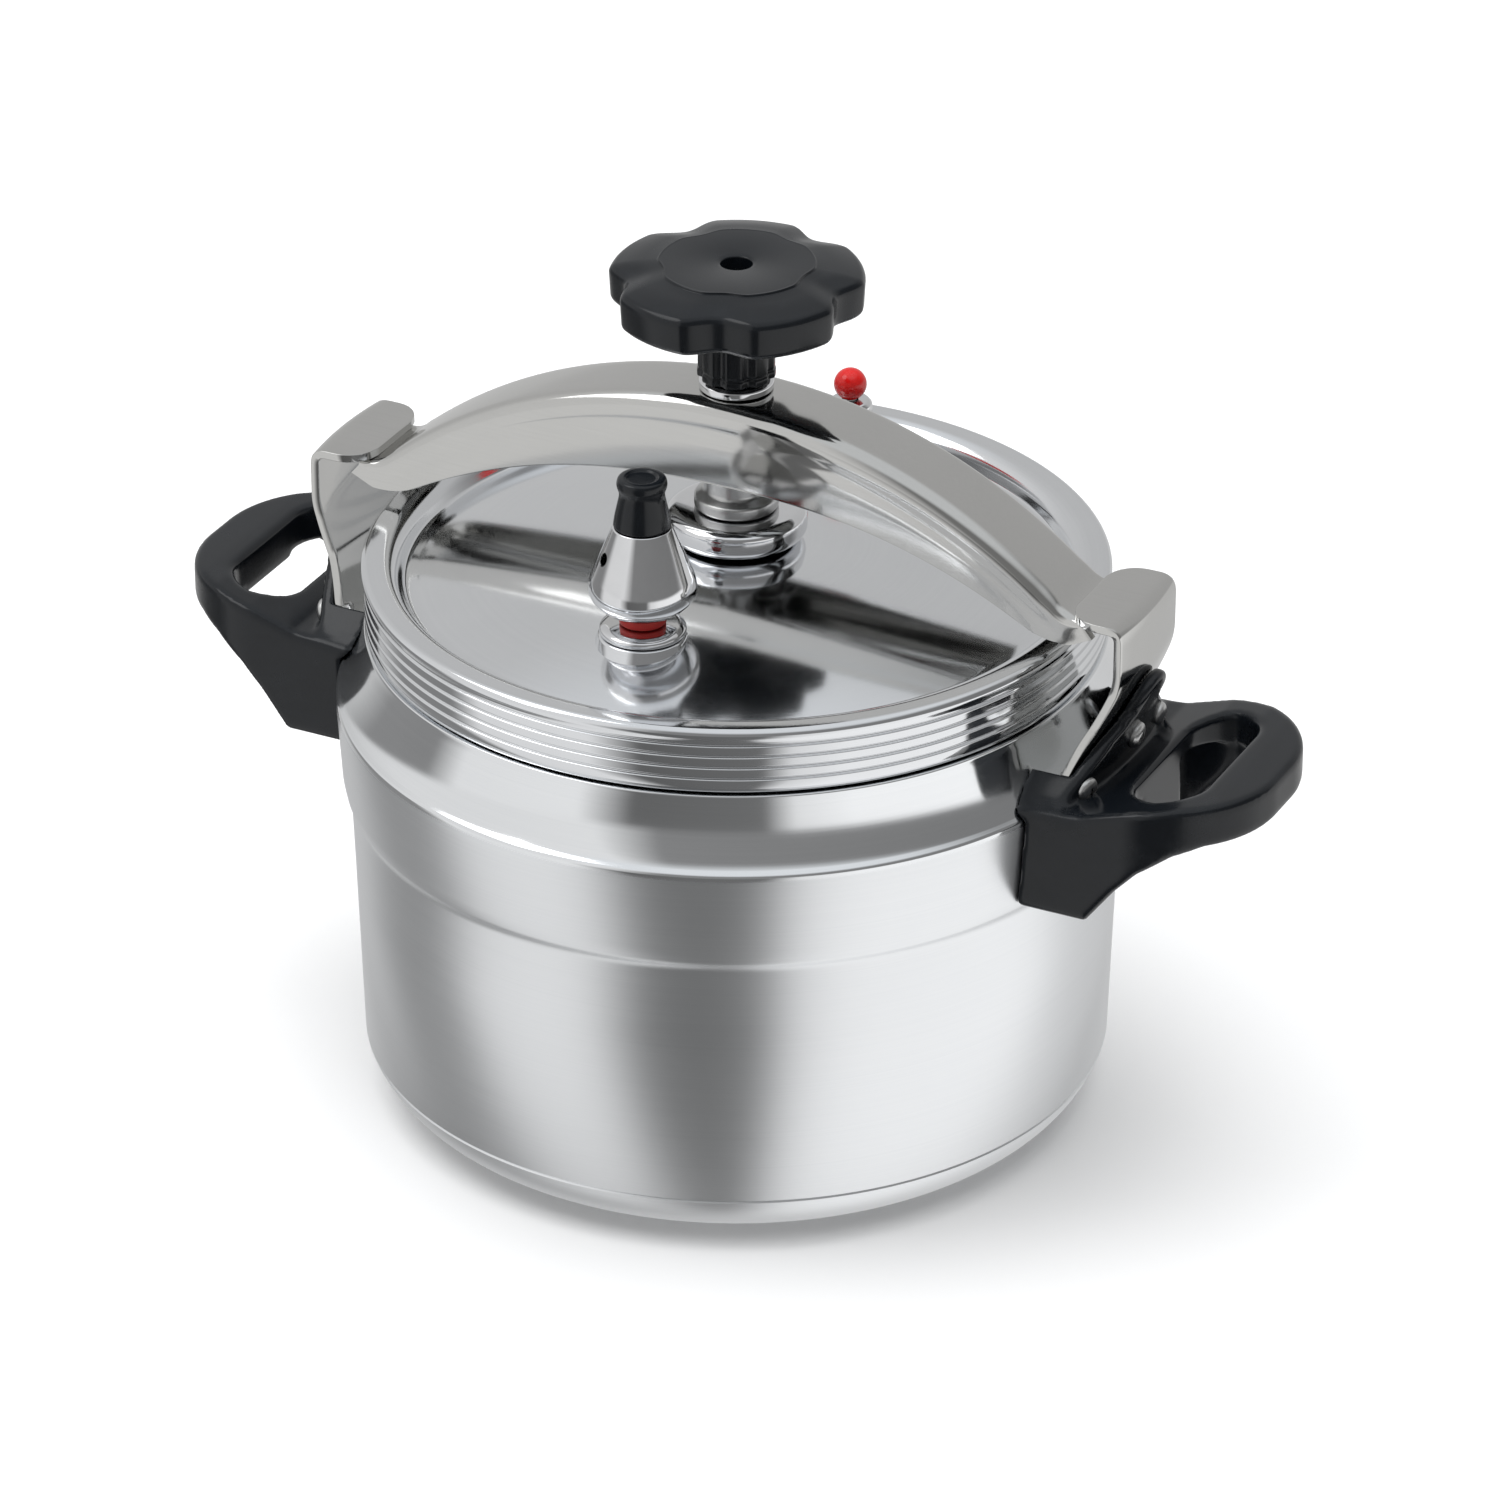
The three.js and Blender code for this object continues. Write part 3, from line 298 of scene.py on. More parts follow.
def pot_section():
    corner_r, corner_z = BAND_R - 6.7, 18
    flat_r = BAND_R - 27
    outside = [
        (0, 1.2),
        (flat_r - 9, 1.2),
        (flat_r - 7.6, 0),
        *bow((flat_r, 0), (corner_r - 5, 3.5), (corner_r, corner_z - 0.5), 14),
        (corner_r - 0.35, corner_z),
        (corner_r + 0.05, corner_z + 0.5),
        (WALL_R - 0.9, GROOVE_Z - 26),
        *rounded([
            (WALL_R - 0.1, GROOVE_Z - 4),
            (WALL_R, GROOVE_Z - 1.6, 1),
            (WALL_R + 0.5, GROOVE_Z - 0.2, 0.6),
            (BAND_R - 2.4, GROOVE_Z + 1.4, 1.2),
            (BAND_R - 1.5, GROOVE_Z + 6),
        ]),
        *rounded([
            (BAND_R - 0.2, CREASE_Z - 5),
            (BAND_R, CREASE_Z, 1.1),
            (BAND_R - 1.6, CREASE_Z + 1.2),
        ]),
        *bow(
            (BAND_R - 1.9, CREASE_Z + 1.5),
            (SHOULDER_R + 2, CREASE_Z + 7),
            (SHOULDER_R, SHOULDER_Z - 1),
            14,
        ),
        *rounded([
            (SHOULDER_R, SHOULDER_Z - 0.8),
            (SHOULDER_R - 0.2, SHOULDER_Z + 0.2, 0.6),
            (NECK_R, SHOULDER_Z + 0.3, 0.8),
            (NECK_R, RIM_Z, 1.4),
            (NECK_R - NECK_WALL, RIM_Z, 1.4),
            (NECK_R - NECK_WALL, SHOULDER_Z),
        ]),
    ]
    inside = [
        *bow(
            (SHOULDER_R - POT_WALL - 0.6, SHOULDER_Z - POT_WALL),
            (SHOULDER_R - 1, CREASE_Z + 6),
            (BAND_R - POT_WALL - 0.6, CREASE_Z - 1),
        ),
        (BAND_R - 2.2 - POT_WALL, GROOVE_Z + 2),
        (WALL_R - POT_WALL, GROOVE_Z - 1),
        *bow((corner_r - POT_WALL, corner_z), (corner_r - 5 - POT_WALL, 5.6), (flat_r, 3.6)),
        (0, 3.6),
    ]
    return outside + inside


pot_metal = finish("turned_aluminium_pot", turned_aluminium, (CREASE_Z - 0.6) * MM)
pot = turned("pot_shell", pot_section(), sides=240, crease=50)
dress(pot, pot_metal, "pot", "pot_aluminium", "pot_body")


# ---- hooks ----
# Two stamped steel plates riveted to the band. Each leans out and folds over flat to hold the beam.
# They are blanked from polished sheet, and their edges are broken by tumbling.

HOOK_THICK = 2.6
HOOK_GAP = 0.4
HOOK_FLAP_X, HOOK_FOLD_R = 119, 5.3
HOOK_LOW, HOOK_HIGH = box_mm("hook_right")
HOOK_FOOT_R = BAND_R + HOOK_GAP + HOOK_THICK
HOOK_LEAN = HOOK_HIGH.x - HOOK_FOOT_R
HOOK_EDGE_Z = (HOOK_LOW.z, HOOK_LOW.z + 6, CREASE_Z + 5, CREASE_Z + 13, CREASE_Z + 24, CREASE_Z + 36)
HOOK_EDGE_HALF = (27.6, 31.6, 31.6, 28.2, 22.4, 20.5)


def polished_steel(g):
    """Buffed stainless steel: long faint grain along X with a soft cloudy sheen."""
    grain = g.noise((30, 1900, 1900), detail=3, roughness=0.65)
    cloud = g.noise((26, 26, 26), detail=4, roughness=0.6)
    g.surface({
        "Base Color": g.tint(grain * 0.5 + cloud * 0.5, (0.55, 0.55, 0.535), (0.65, 0.645, 0.63)),
        "Metallic": 1.0,
        "Roughness": 0.055 + cloud * 0.045 + grain * 0.03,
        "Normal": g.bump(grain * 0.6 + cloud * 0.4, 0.000003),
    })


def spaced(line, pitch):
    """The same line with points an even pitch apart."""
    lengths = [0.0]
    for a, b in zip(line, line[1:]):
        lengths.append(lengths[-1] + math.dist(a, b))
    stations = np.linspace(0, lengths[-1], max(2, round(lengths[-1] / pitch) + 1))
    columns = [np.interp(stations, lengths, [p[k] for p in line]) for k in range(len(line[0]))]
    return list(zip(*columns))


def sheet_grid(name, rows, thickness, edge):
    """Sheet metal through rows of points on its outer face, given a thickness and broken edges."""
    width = len(rows[0])
    vertices = [p for row in rows for p in row]
    faces = []
    for i in range(len(rows) - 1):
        for k in range(width - 1):
            a = i * width + k
            faces.append((a, a + 1, a + width + 1, a + width))
    piece = finished_mesh(name, vertices, faces, crease=60)
    outward = sum((f.normal.dot(f.center - Vector((0, 0, 0.12))) * f.area for f in piece.data.polygons), 0)
    if outward < 0:
        piece.data.flip_normals()
    wall = piece.modifiers.new("wall", "SOLIDIFY")
    wall.thickness = thickness * MM
    wall.offset = -1
    wall.use_even_offset = True
    broken = piece.modifiers.new("broken_edge", "BEVEL")
    broken.width = edge * MM
    broken.segments = 3
    broken.limit_method = "ANGLE"
    broken.angle_limit = math.radians(50)
    return piece


def hook_half_width(x, z):
    top = HOOK_HIGH.z
    if z < top - 1 or x > HOOK_FLAP_X + 12:
        return float(np.interp(z, HOOK_EDGE_Z, HOOK_EDGE_HALF))
    share = (x - HOOK_FLAP_X) / 12
    return 20.5 * (0.52 + 0.48 * (1 - (1 - share) ** 2.4) ** 0.6)


def hook_rows(side):
    """The hook's outer face from its foot to the flap's inner edge; side is 1 or -1 as X is."""
    top = HOOK_HIGH.z
    outline = rounded([
        (HOOK_FOOT_R, HOOK_LOW.z),
        (HOOK_FOOT_R, CREASE_Z + 2.4, 9),
        (HOOK_FOOT_R + HOOK_LEAN * 0.29, CREASE_Z + 18.4, 9),
        (HOOK_FOOT_R + HOOK_LEAN * 0.73, CREASE_Z + 30.4, 8),
        (HOOK_FOOT_R + HOOK_LEAN, CREASE_Z + 39.4, 6),
        (HOOK_FOOT_R + HOOK_LEAN, top, HOOK_FOLD_R),
        (HOOK_FLAP_X, top),
    ], steps=8)
    rows = []
    for x, z in spaced(outline, 1.2):
        half = hook_half_width(x, z)
        flat = np.clip((HOOK_HIGH.x - 3 - x) / (HOOK_HIGH.x - 3 - HOOK_FLAP_X), 0, 1) if z > top - 1 else 0
        row = []
        for share in np.linspace(-1, 1, 33):
            y = share * half
            reach = math.sqrt(x * x - y * y)
            row.append((side * (reach + (x - reach) * flat), y, z))
        rows.append(row)
    return rows


hook_steel = finish("polished_steel_hooks", polished_steel)
for side, sign in (("right", 1), ("left", -1)):
    hook = sheet_grid(f"hook_plate_{side}", hook_rows(sign), HOOK_THICK, 0.5)
    dress(hook, hook_steel, "pot", "polished_steel", f"hook_{side}")


# ---- handles ----
# Two loop handles of black moulded bakelite, each in one shot with a back plate and a rounded tab.
# The plate lies on the hook's outer face, and the arms and a rib between them end in triangular feet.

HANDLE_LOW, HANDLE_HIGH = box_mm("handle_right")
HANDLE_END_X = HANDLE_HIGH.x
HANDLE_HALF = 42
HANDLE_ARM = 11
HANDLE_GRIP = 18
HANDLE_TOP_Z = CREASE_Z + 13.4
HANDLE_UNDER_Z = HANDLE_TOP_Z - 13
GUSSET_HALF = 15
PLATE_THICK = 4.7
TAB_HALF = 10


def skin(field, origin, pitch):
    """The closed surface where a sampled field changes sign, as vertices and outward quads."""
    inside = field < 0
    nx, ny, nz = (n - 1 for n in field.shape)
    total = np.zeros((nx, ny, nz, 3))
    count = np.zeros((nx, ny, nz))
    corners = [(a, b, c) for a in (0, 1) for b in (0, 1) for c in (0, 1)]

    def at(values, corner):
        a, b, c = corner
        return values[a:nx + a, b:ny + b, c:nz + c]

    for first in corners:
        for axis in range(3):
            if first[axis]:
                continue
            second = tuple(v + (k == axis) for k, v in enumerate(first))
            crossing = at(inside, first) != at(inside, second)
            f1, f2 = at(field, first), at(field, second)
            share = np.where(crossing, f1 / np.where(crossing, f1 - f2, 1), 0)
            for k in range(3):
                total[..., k] += crossing * (first[k] + (share if k == axis else 0))
            count += crossing
    index = np.full((nx, ny, nz), -1)
    used = count > 0
    index[used] = np.arange(used.sum())
    cells = np.argwhere(used)
    vertices = origin + pitch * (cells + total[used] / count[used][:, None])
    faces = []
    for axis in range(3):
        u, v = (axis + 1) % 3, (axis + 2) % 3
        near = np.moveaxis(inside, (axis, u, v), (0, 1, 2))
        ids = np.moveaxis(index, (axis, u, v), (0, 1, 2))
        crossing = near[:-1, 1:-1, 1:-1] != near[1:, 1:-1, 1:-1]
        leaving = near[:-1, 1:-1, 1:-1] & crossing
        quad = np.stack([ids[:, :-1, :-1], ids[:, 1:, :-1], ids[:, 1:, 1:], ids[:, :-1, 1:]], -1)
        faces.append(quad[crossing & leaving])
        faces.append(quad[crossing & ~leaving][:, ::-1])
    return vertices, np.concatenate(faces)


def soft_max(a, b, blend):
    """The larger of two fields, rounded where they meet."""
    h = np.clip(0.5 + 0.5 * (a - b) / blend, 0, 1)
    return b + (a - b) * h + blend * h * (1 - h)


def soft_min(a, b, blend):
    return -soft_max(-a, -b, blend)


def round_slab(x, y, low, high, half, corner):
    """Distance in plan from a slab between two X values with rounded corners."""
    centre, reach = (low + high) / 2, (high - low) / 2
    dx = np.abs(x - centre) - reach + corner
    dy = np.abs(y) - half + corner
    return np.minimum(np.maximum(dx, dy), 0) + np.hypot(np.maximum(dx, 0), np.maximum(dy, 0)) - corner


def hook_face(z):
    """Outer radius of the hook's upright part at a height."""
    heights = (CREASE_Z + 2.4, CREASE_Z + 18.4, CREASE_Z + 30.4, CREASE_Z + 39.4)
    shares = (0, 0.29, 0.73, 1)
    return HOOK_FOOT_R + HOOK_LEAN * np.interp(z, heights, shares)


def handle_field(x, y, z):
    """Below zero inside the right handle."""
    radius = np.hypot(x, y)
    root, elbow, end = NECK_R - 1, BAND_R + 26, HANDLE_END_X
    top_x = (root, elbow - 16, elbow, end - 20, end - 12, end + 2)
    top_z = [HANDLE_TOP_Z - drop for drop in (10, 8, 3, 0.4, 0, 0)]
    under_x = (root, elbow - 13, elbow - 4, elbow + 3, end - 21, end - 13, end + 2)
    under_z = [HANDLE_LOW.z + rise for rise in (0, 0, 12, 19.5, 26.5, 29.4, 30)]
    loop = round_slab(x, y, 40, end, HANDLE_HALF, 36)
    loop = soft_max(loop, (z - np.interp(x, top_x, top_z)) * 0.97, 2.6)
    loop = soft_max(loop, (np.interp(x, under_x, under_z) - z) * 0.8, 2.6)
    arm_inner = HANDLE_HALF - HANDLE_ARM
    opening = round_slab(x, y, BAND_R + 20, end - HANDLE_GRIP, arm_inner, 13)
    pocket = np.maximum(round_slab(x, y, BAND_R + 10, end - 12, arm_inner, 6), z - HANDLE_UNDER_Z)
    pocket = soft_max(pocket, GUSSET_HALF - np.abs(y), 1.5)
    loop = soft_max(loop, -opening, 2.6)
    loop = soft_max(loop, -pocket, 1.6)
    gap = radius - hook_face(z)
    width = np.interp(z, (107, 140, 149, 158, 163), (38, 38, 26, 13, TAB_HALF))
    tab = np.hypot(y, np.maximum(z - HANDLE_HIGH.z + TAB_HALF, 0)) - TAB_HALF
    plan = np.where(z > HANDLE_HIGH.z - TAB_HALF, tab, (np.abs(y) - width) * 0.8)
    plan = soft_max(plan, HANDLE_LOW.z + 2 - z, 2)
    plate = soft_max(soft_max(plan, gap - HOOK_GAP - PLATE_THICK, 3), HOOK_GAP - gap - 14, 1)
    body = soft_min(loop, plate, 3)
    hook_plan = np.abs(y) - np.interp(z, HOOK_EDGE_Z, (31.6, *HOOK_EDGE_HALF[1:]))
    hook_plan = np.maximum(hook_plan - HOOK_GAP, HOOK_LOW.z - 1.5 - z)
    hook_room = np.maximum(hook_plan, gap - HOOK_GAP)
    pot_heights = (GROOVE_Z, GROOVE_Z + 3, CREASE_Z, CREASE_Z + 3, CREASE_Z + 8, SHOULDER_Z, 200)
    pot_radii = (WALL_R + 0.6, BAND_R - 2, BAND_R, BAND_R - 3.5, BAND_R - 6.6, SHOULDER_R, SHOULDER_R)
    pot_room = radius - np.interp(z, pot_heights, pot_radii) - HOOK_GAP
    return soft_max(soft_max(body, -hook_room, 0.8), -pot_room, 0.8)


def moulded_handle(name, sign, pitch):
    low = np.array((105.0, -45.0, HANDLE_LOW.z - 3))
    high = np.array((HANDLE_END_X + 3, 45.0, HANDLE_HIGH.z + 3))
    axes = [np.arange(a, b, pitch) for a, b in zip(low, high)]
    grid = np.meshgrid(*axes, indexing="ij")
    vertices, faces = skin(handle_field(*grid), low, pitch)
    vertices[:, :2] *= sign
    return finished_mesh(name, vertices.tolist(), faces.tolist(), crease=55)


def bakelite(g):
    """Black moulded bakelite: a blue-black gloss with a faint flow grain and rubbed patches."""
    flow = g.noise((70, 70, 160), detail=5, roughness=0.65)
    peel = g.noise((1400, 1400, 1400), detail=2)
    rubbed = g.step(g.noise((48, 48, 48), detail=4, roughness=0.7), 0.46, 0.72)
    g.surface({
        "Base Color": g.tint(flow * 0.7 + rubbed * 0.3, (0.0025, 0.0035, 0.005), (0.008, 0.010, 0.013)),
        "Roughness": 0.17 + rubbed * 0.12 + peel * 0.04,
        "IOR": 1.42,
        "Normal": g.bump(peel * 0.5 + flow * 0.5, 0.00001),
    })


handle_black = finish("bakelite_handles", bakelite)
for side, sign in (("right", 1), ("left", -1)):
    handle = moulded_handle(f"handle_loop_{side}", sign, 0.9)
    dress(handle, handle_black, "pot", "bakelite", f"handle_{side}")


# ---- rivets and handle screws ----
# Three dome-headed rivets hold each hook to the band, and three cross-recessed screws hold each handle.
# All six of a kind are the same part, so one is made and set at its places.


def fastener_steel(g):
    """Plain zinc-bright steel of small fasteners, a little dull and blotchy."""
    blotch = g.noise((420, 420, 420), detail=4, roughness=0.6)
    scuff = g.noise((2600, 2600, 300), detail=2)
    g.surface({
        "Base Color": g.tint(blotch, (0.50, 0.50, 0.50), (0.72, 0.72, 0.71)),
        "Metallic": 1.0,
        "Roughness": 0.22 + blotch * 0.14 + scuff * 0.06,
        "Normal": g.bump(blotch * 0.5 + scuff * 0.5, 0.00002),
    })


def new_tree(name, sockets):
    """A Geometry Nodes tree with named inputs, and its group input's ports by name."""
    tree = bpy.data.node_groups.new(name, "GeometryNodeTree")
    tree.interface.new_socket("Geometry", in_out="OUTPUT", socket_type="NodeSocketGeometry")
    tree.interface.new_socket("Geometry", in_out="INPUT", socket_type="NodeSocketGeometry")
    for label, kind in sockets.items():
        tree.interface.new_socket(label, in_out="INPUT", socket_type=f"NodeSocket{kind}")
    graph = Graph(tree)
    source = graph.node("NodeGroupInput")
    return tree, graph, {label: source.out(label) for label in ("Geometry", *sockets)}


def close_tree(graph, geometry, material):
    """Every tree ends by realizing its copies and setting their finish."""
    real = graph.node("GeometryNodeRealizeInstances", {}, {0: geometry})
    done = graph.node("GeometryNodeSetMaterial", {}, {"Geometry": real, "Material": material})
    graph.node("NodeGroupOutput", {"is_active_output": True}, {"Geometry": done})


def baked(piece):
    """A plain mesh of a piece as its modifiers leave it."""
    depsgraph = bpy.context.evaluated_depsgraph_get()
    return bpy.data.meshes.new_from_object(piece.evaluated_get(depsgraph))


def grown(name, source, tree, values, crease=35):
    """Runs a tree on a source object and keeps its result as one plain mesh."""
    modifier = source.modifiers.new("grow", "NODES")
    modifier.node_group = tree
    for item in tree.interface.items_tree:
        if item.in_out == "INPUT" and item.name in values:
            modifier[item.identifier] = values[item.name]
    mesh = baked(source)
    source.modifiers.remove(modifier)
    bpy.data.objects.remove(source)
    return linked(name, smoothed(mesh, crease))


def copies_tree():
    """Sets one part at each point, with its +Z turned along the point's direction."""
    tree, g, inputs = new_tree("set_at_places", {"Part": "Object", "Finish": "Material"})
    part = g.node("GeometryNodeObjectInfo", {}, {"Object": inputs["Part"]}, output="Geometry")
    facing = g.node("GeometryNodeInputNamedAttribute", {"data_type": "FLOAT_VECTOR"}, {"Name": "facing"})
    turn = g.node("FunctionNodeAlignRotationToVector", {"axis": "Z"}, {"Vector": facing})
    places = {"Points": inputs["Geometry"], "Instance": part, "Rotation": turn}
    close_tree(g, g.node("GeometryNodeInstanceOnPoints", {}, places), inputs["Finish"])
    return tree


COPIES = copies_tree()


def set_at(name, part, places, material):
    """Copies of a part at a list of (point, direction) places, as one mesh."""
    mesh = bpy.data.meshes.new(name + "_places")
    mesh.from_pydata([Vector(point) * MM for point, _ in places], [], [])
    facing = mesh.attributes.new("facing", "FLOAT_VECTOR", "POINT")
    facing.data.foreach_set("vector", [v for _, direction in places for v in direction])
    piece = grown(name, linked(name + "_places", mesh), COPIES, {"Part": part, "Finish": material})
    bpy.data.objects.remove(part)
    return piece


def radial_place(node, radius, dip=0):
    """A point at a node's height and angle round the axis, and the way out from it, dipped by an angle."""
    low, high = box_mm(node)
    middle = (low + high) / 2
    turn = math.atan2(middle.y, middle.x)
    out = Vector((math.cos(turn) * math.cos(dip), math.sin(turn) * math.cos(dip), -math.sin(dip)))
    return Vector((radius * math.cos(turn), radius * math.sin(turn), middle.z)), out


def rivet_part():
    wall = POT_WALL + HOOK_GAP + HOOK_THICK + 2.4
    return turned("rivet_part", rounded([
        (0, 1.7),
        (3, 1.5, 1.6),
        (4.9, 0.1, 0.3),
        (3, 0.05),
        (3, -wall, 0.1),
        (4.9, -wall - 0.1, 0.3),
        (3.4, -wall - 1.5, 0.8),
        (0, -wall - 1.6),
    ]), sides=32)


def cut(piece, tool):
    """Cuts one piece with another and removes the tool."""
    modifier = piece.modifiers.new("cut", "BOOLEAN")
    modifier.operation = "DIFFERENCE"
    modifier.solver = "EXACT"
    modifier.object = tool
    piece.data = baked(piece)
    piece.modifiers.clear()
    bpy.data.objects.remove(tool)
    piece.data.set_sharp_from_angle(angle=math.radians(35))


def block(name, low, high):
    corners = [(x, y, z) for x in (low[0], high[0]) for y in (low[1], high[1]) for z in (low[2], high[2])]
    faces = [(0, 1, 3, 2), (4, 6, 7, 5), (0, 4, 5, 1), (2, 3, 7, 6), (0, 2, 6, 4), (1, 5, 7, 3)]
    return finished_mesh(name, corners, faces)


def pan_screw(head_r, head_height, shank_r, shank_length):
    """A pan-head screw standing on z 0 with a cross recess."""
    part = turned("screw_part", rounded([
        (0, head_height),
        (head_r * 0.62, head_height * 0.96, head_r * 0.3),
        (head_r * 0.96, head_height * 0.5, head_r * 0.3),
        (head_r, 0.05, 0.2),
        (shank_r, 0),
        (shank_r, -shank_length + 0.6, 0.3),
        (shank_r * 0.6, -shank_length, 0.3),
        (0, -shank_length),
    ]), sides=40)
    arm, slot = head_r * 0.52, head_r * 0.11
    for half in ((arm, slot), (slot, arm)):
        reach = (*half, head_height + 1)
        cut(part, block("recess", (-half[0], -half[1], head_height * 0.42), reach))
    return part


small_steel = finish("bright_fastener_steel", fastener_steel)
SCREW_DIP = math.atan2(HOOK_LEAN * 0.29, 16)
for side in ("right", "left"):
    rivets = [f"hook_rivet_{side}_{i}" for i in (1, 2, 3)]
    places = [radial_place(node, HOOK_FOOT_R + 0.3) for node in rivets]
    row = set_at(f"hook_rivets_{side}", rivet_part(), places, small_steel)
    dress(row, small_steel, "pot", "fastener_steel", *rivets)
    screws = [f"handle_screw_{side}_{i}" for i in (1, 2, 3)]
    places = []
    for node in screws:
        spot, out = radial_place(node, 0, SCREW_DIP)
        face = radial_place(node, hook_face(spot.z) + HOOK_GAP + PLATE_THICK - 0.3)[0]
        places.append((face, out))
    row = set_at(f"handle_screws_{side}", pan_screw(4.3, 2.6, 2.3, 9), places, small_steel)
    dress(row, small_steel, "pot", "fastener_steel", *screws)


# ---- lid ----
# A pressed aluminium lid with a mirror-bright dome, a rolled rim and a ribbed skirt that covers the neck.
# Two flat pads are coined into the dome for the valves, and a black gasket ring sits under the rim.

CREST_Z = RIM_Z + 7
DISC_R = NECK_R - NECK_WALL - 4.6
DISC_EDGE_Z = CREST_Z - 7
LID_CROWN = 14
DOME_Z = DISC_EDGE_Z + LID_CROWN
SKIRT_R = NECK_R + 4.1
LID_UNDER_Z = RIM_Z + 4.2
SKIRT_FOOT_Z = LID_UNDER_Z - 18.3
VENT_BORE_R = 5.3
SAFETY_BORE_R = 6.2
SKIRT_GROOVES = (5.2, 8.9, 12.6, 16.3)
LID_THICK = 2.6


def dome_z(r):
    return DOME_Z - LID_CROWN * (r / DISC_R) ** 2


def mirror_aluminium(g):
    """Buffed lid aluminium: nearly a mirror, with faint buffing rings and a little haze."""
    spot = g.node("ShaderNodeSeparateXYZ", {}, {0: g.place()})
    radius = (spot * spot + spot.out("Y") * spot.out("Y")) ** 0.5
    across = g.node("ShaderNodeCombineXYZ", {}, {"X": radius * 1700, "Y": spot.out("Z") * 1500})
    rings = g.node("ShaderNodeTexNoise", {}, {"Vector": across, "Scale": 1, "Detail": 2, "Roughness": 0.6})
    haze = g.noise((17, 17, 17), detail=5, roughness=0.62)
    g.surface({
        "Base Color": g.tint(haze * 0.6 + rings * 0.4, (0.74, 0.755, 0.775), (0.86, 0.87, 0.885)),
        "Metallic": 1.0,
        "Roughness": 0.05 + haze * 0.07 + rings * 0.03,
        "Normal": g.bump(rings * 0.7 + haze * 0.3, 0.000004),
    })


def skirt_outline():
    """Flat bands down the skirt with narrow shallow grooves between them."""
    points = []
    for groove in SKIRT_GROOVES:
        level = CREST_Z - groove
        points += rounded([
            (SKIRT_R + 1.25, level + 1.1),
            (SKIRT_R + 1.25, level + 0.6, 0.4),
            (SKIRT_R + 0.3, level, 0.5),
            (SKIRT_R + 1.25, level - 0.6, 0.4),
            (SKIRT_R + 1.25, level - 1.1),
        ], steps=4)
    return points + [(SKIRT_R + 1.0, SKIRT_FOOT_Z + 0.5), (SKIRT_R + 0.4, SKIRT_FOOT_Z)]


def lid_section():
    dome = [(DISC_R * i / 28, dome_z(DISC_R * i / 28)) for i in range(28)]
    channel = NECK_R - NECK_WALL - 0.6
    return [
        *dome,
        *rounded([
            (DISC_R - 1, dome_z(DISC_R - 1)),
            (DISC_R + 0.6, DISC_EDGE_Z + 0.4, 1),
            (DISC_R + 2.6, CREST_Z - 2.6, 2),
            (DISC_R + 5.9, CREST_Z, 2.4),
            (SKIRT_R + 0.8, CREST_Z, 2),
            (SKIRT_R + 2.3, CREST_Z - 1.9, 1.2),
            (SKIRT_R + 1.3, CREST_Z - 3.9, 0.8),
        ], steps=6),
        *skirt_outline(),
        (SKIRT_R - 2.2, SKIRT_FOOT_Z),
        (SKIRT_R - 2.4, LID_UNDER_Z),
        (channel, LID_UNDER_Z),
        (channel, DISC_EDGE_Z - 0.6),
        (channel - 1.4, DISC_EDGE_Z - LID_THICK),
        *[(r, z - LID_THICK) for r, z in reversed(dome)],
    ]


lid_metal = finish("mirror_aluminium_lid", mirror_aluminium)
lid_pan = turned("lid_pan", lid_section(), sides=240, crease=50)
dress(lid_pan, lid_metal, "lid", "lid_aluminium", "lid")


def centre_of(node):
    low, high = box_mm(node)
    return ((low.x + high.x) / 2, (low.y + high.y) / 2)


def valve_pad(name, node, radius, bore):
    """The flat coined pad round a valve's hole."""
    x, y = centre_of(node)
    level = dome_z(abs(y)) + 1
    pad = turned(name, rounded([
        (bore, level, 0.2),
        (radius - 0.6, level, 0.8),
        (radius + 1, dome_z(abs(y) + radius) - 0.4),
        (bore, level - 3.4),
    ], closed=True), sides=96, centre=(x, y))
    return dress(pad, lid_metal, "lid", "lid_aluminium")


valve_pad("vent_pad", "vent_stem", 14, VENT_BORE_R)
valve_pad("safety_pad", "safety_housing", 11, SAFETY_BORE_R)


def gasket_rubber(g):
    """Matt black seal rubber with a fine dusty grain."""
    grain = g.noise((1500, 1500, 1500), detail=3)
    dust = g.noise((90, 90, 90), detail=4)
    g.surface({
        "Base Color": g.tint(dust, (0.012, 0.012, 0.012), (0.035, 0.034, 0.033)),
        "Roughness": 0.6 + grain * 0.2,
        "Normal": g.bump(grain, 0.00004),
    })


def recoat(node, material):
    """Gives a frame node that stays its finish."""
    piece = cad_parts[node]
    piece.data.materials.clear()
    piece.data.materials.append(material)


def seal_ring(name, node, inner, sides, fillet):
    """A square ring with rounded edges that fills a node's box outside an inner radius."""
    low, high = box_mm(node)
    outer = (high.x - low.x) / 2
    return turned(name, rounded([
        (inner, low.z, fillet),
        (outer, low.z, fillet),
        (outer, high.z, fillet),
        (inner, high.z, fillet),
    ], closed=True), sides=sides, centre=centre_of(node))


rubber = finish("black_seal_rubber", gasket_rubber)
gasket = seal_ring("gasket_ring", "lid_gasket", NECK_R - NECK_WALL - 0.2, 192, 0.8)
dress(gasket, rubber, "lid", "gasket_rubber", "lid_gasket")


# ---- centre boss ----
# A chromed cup riveted to the middle of the dome. The clamp screw's foot presses down on its flat top.
# Its rivet's head sits in the shallow well at the centre.


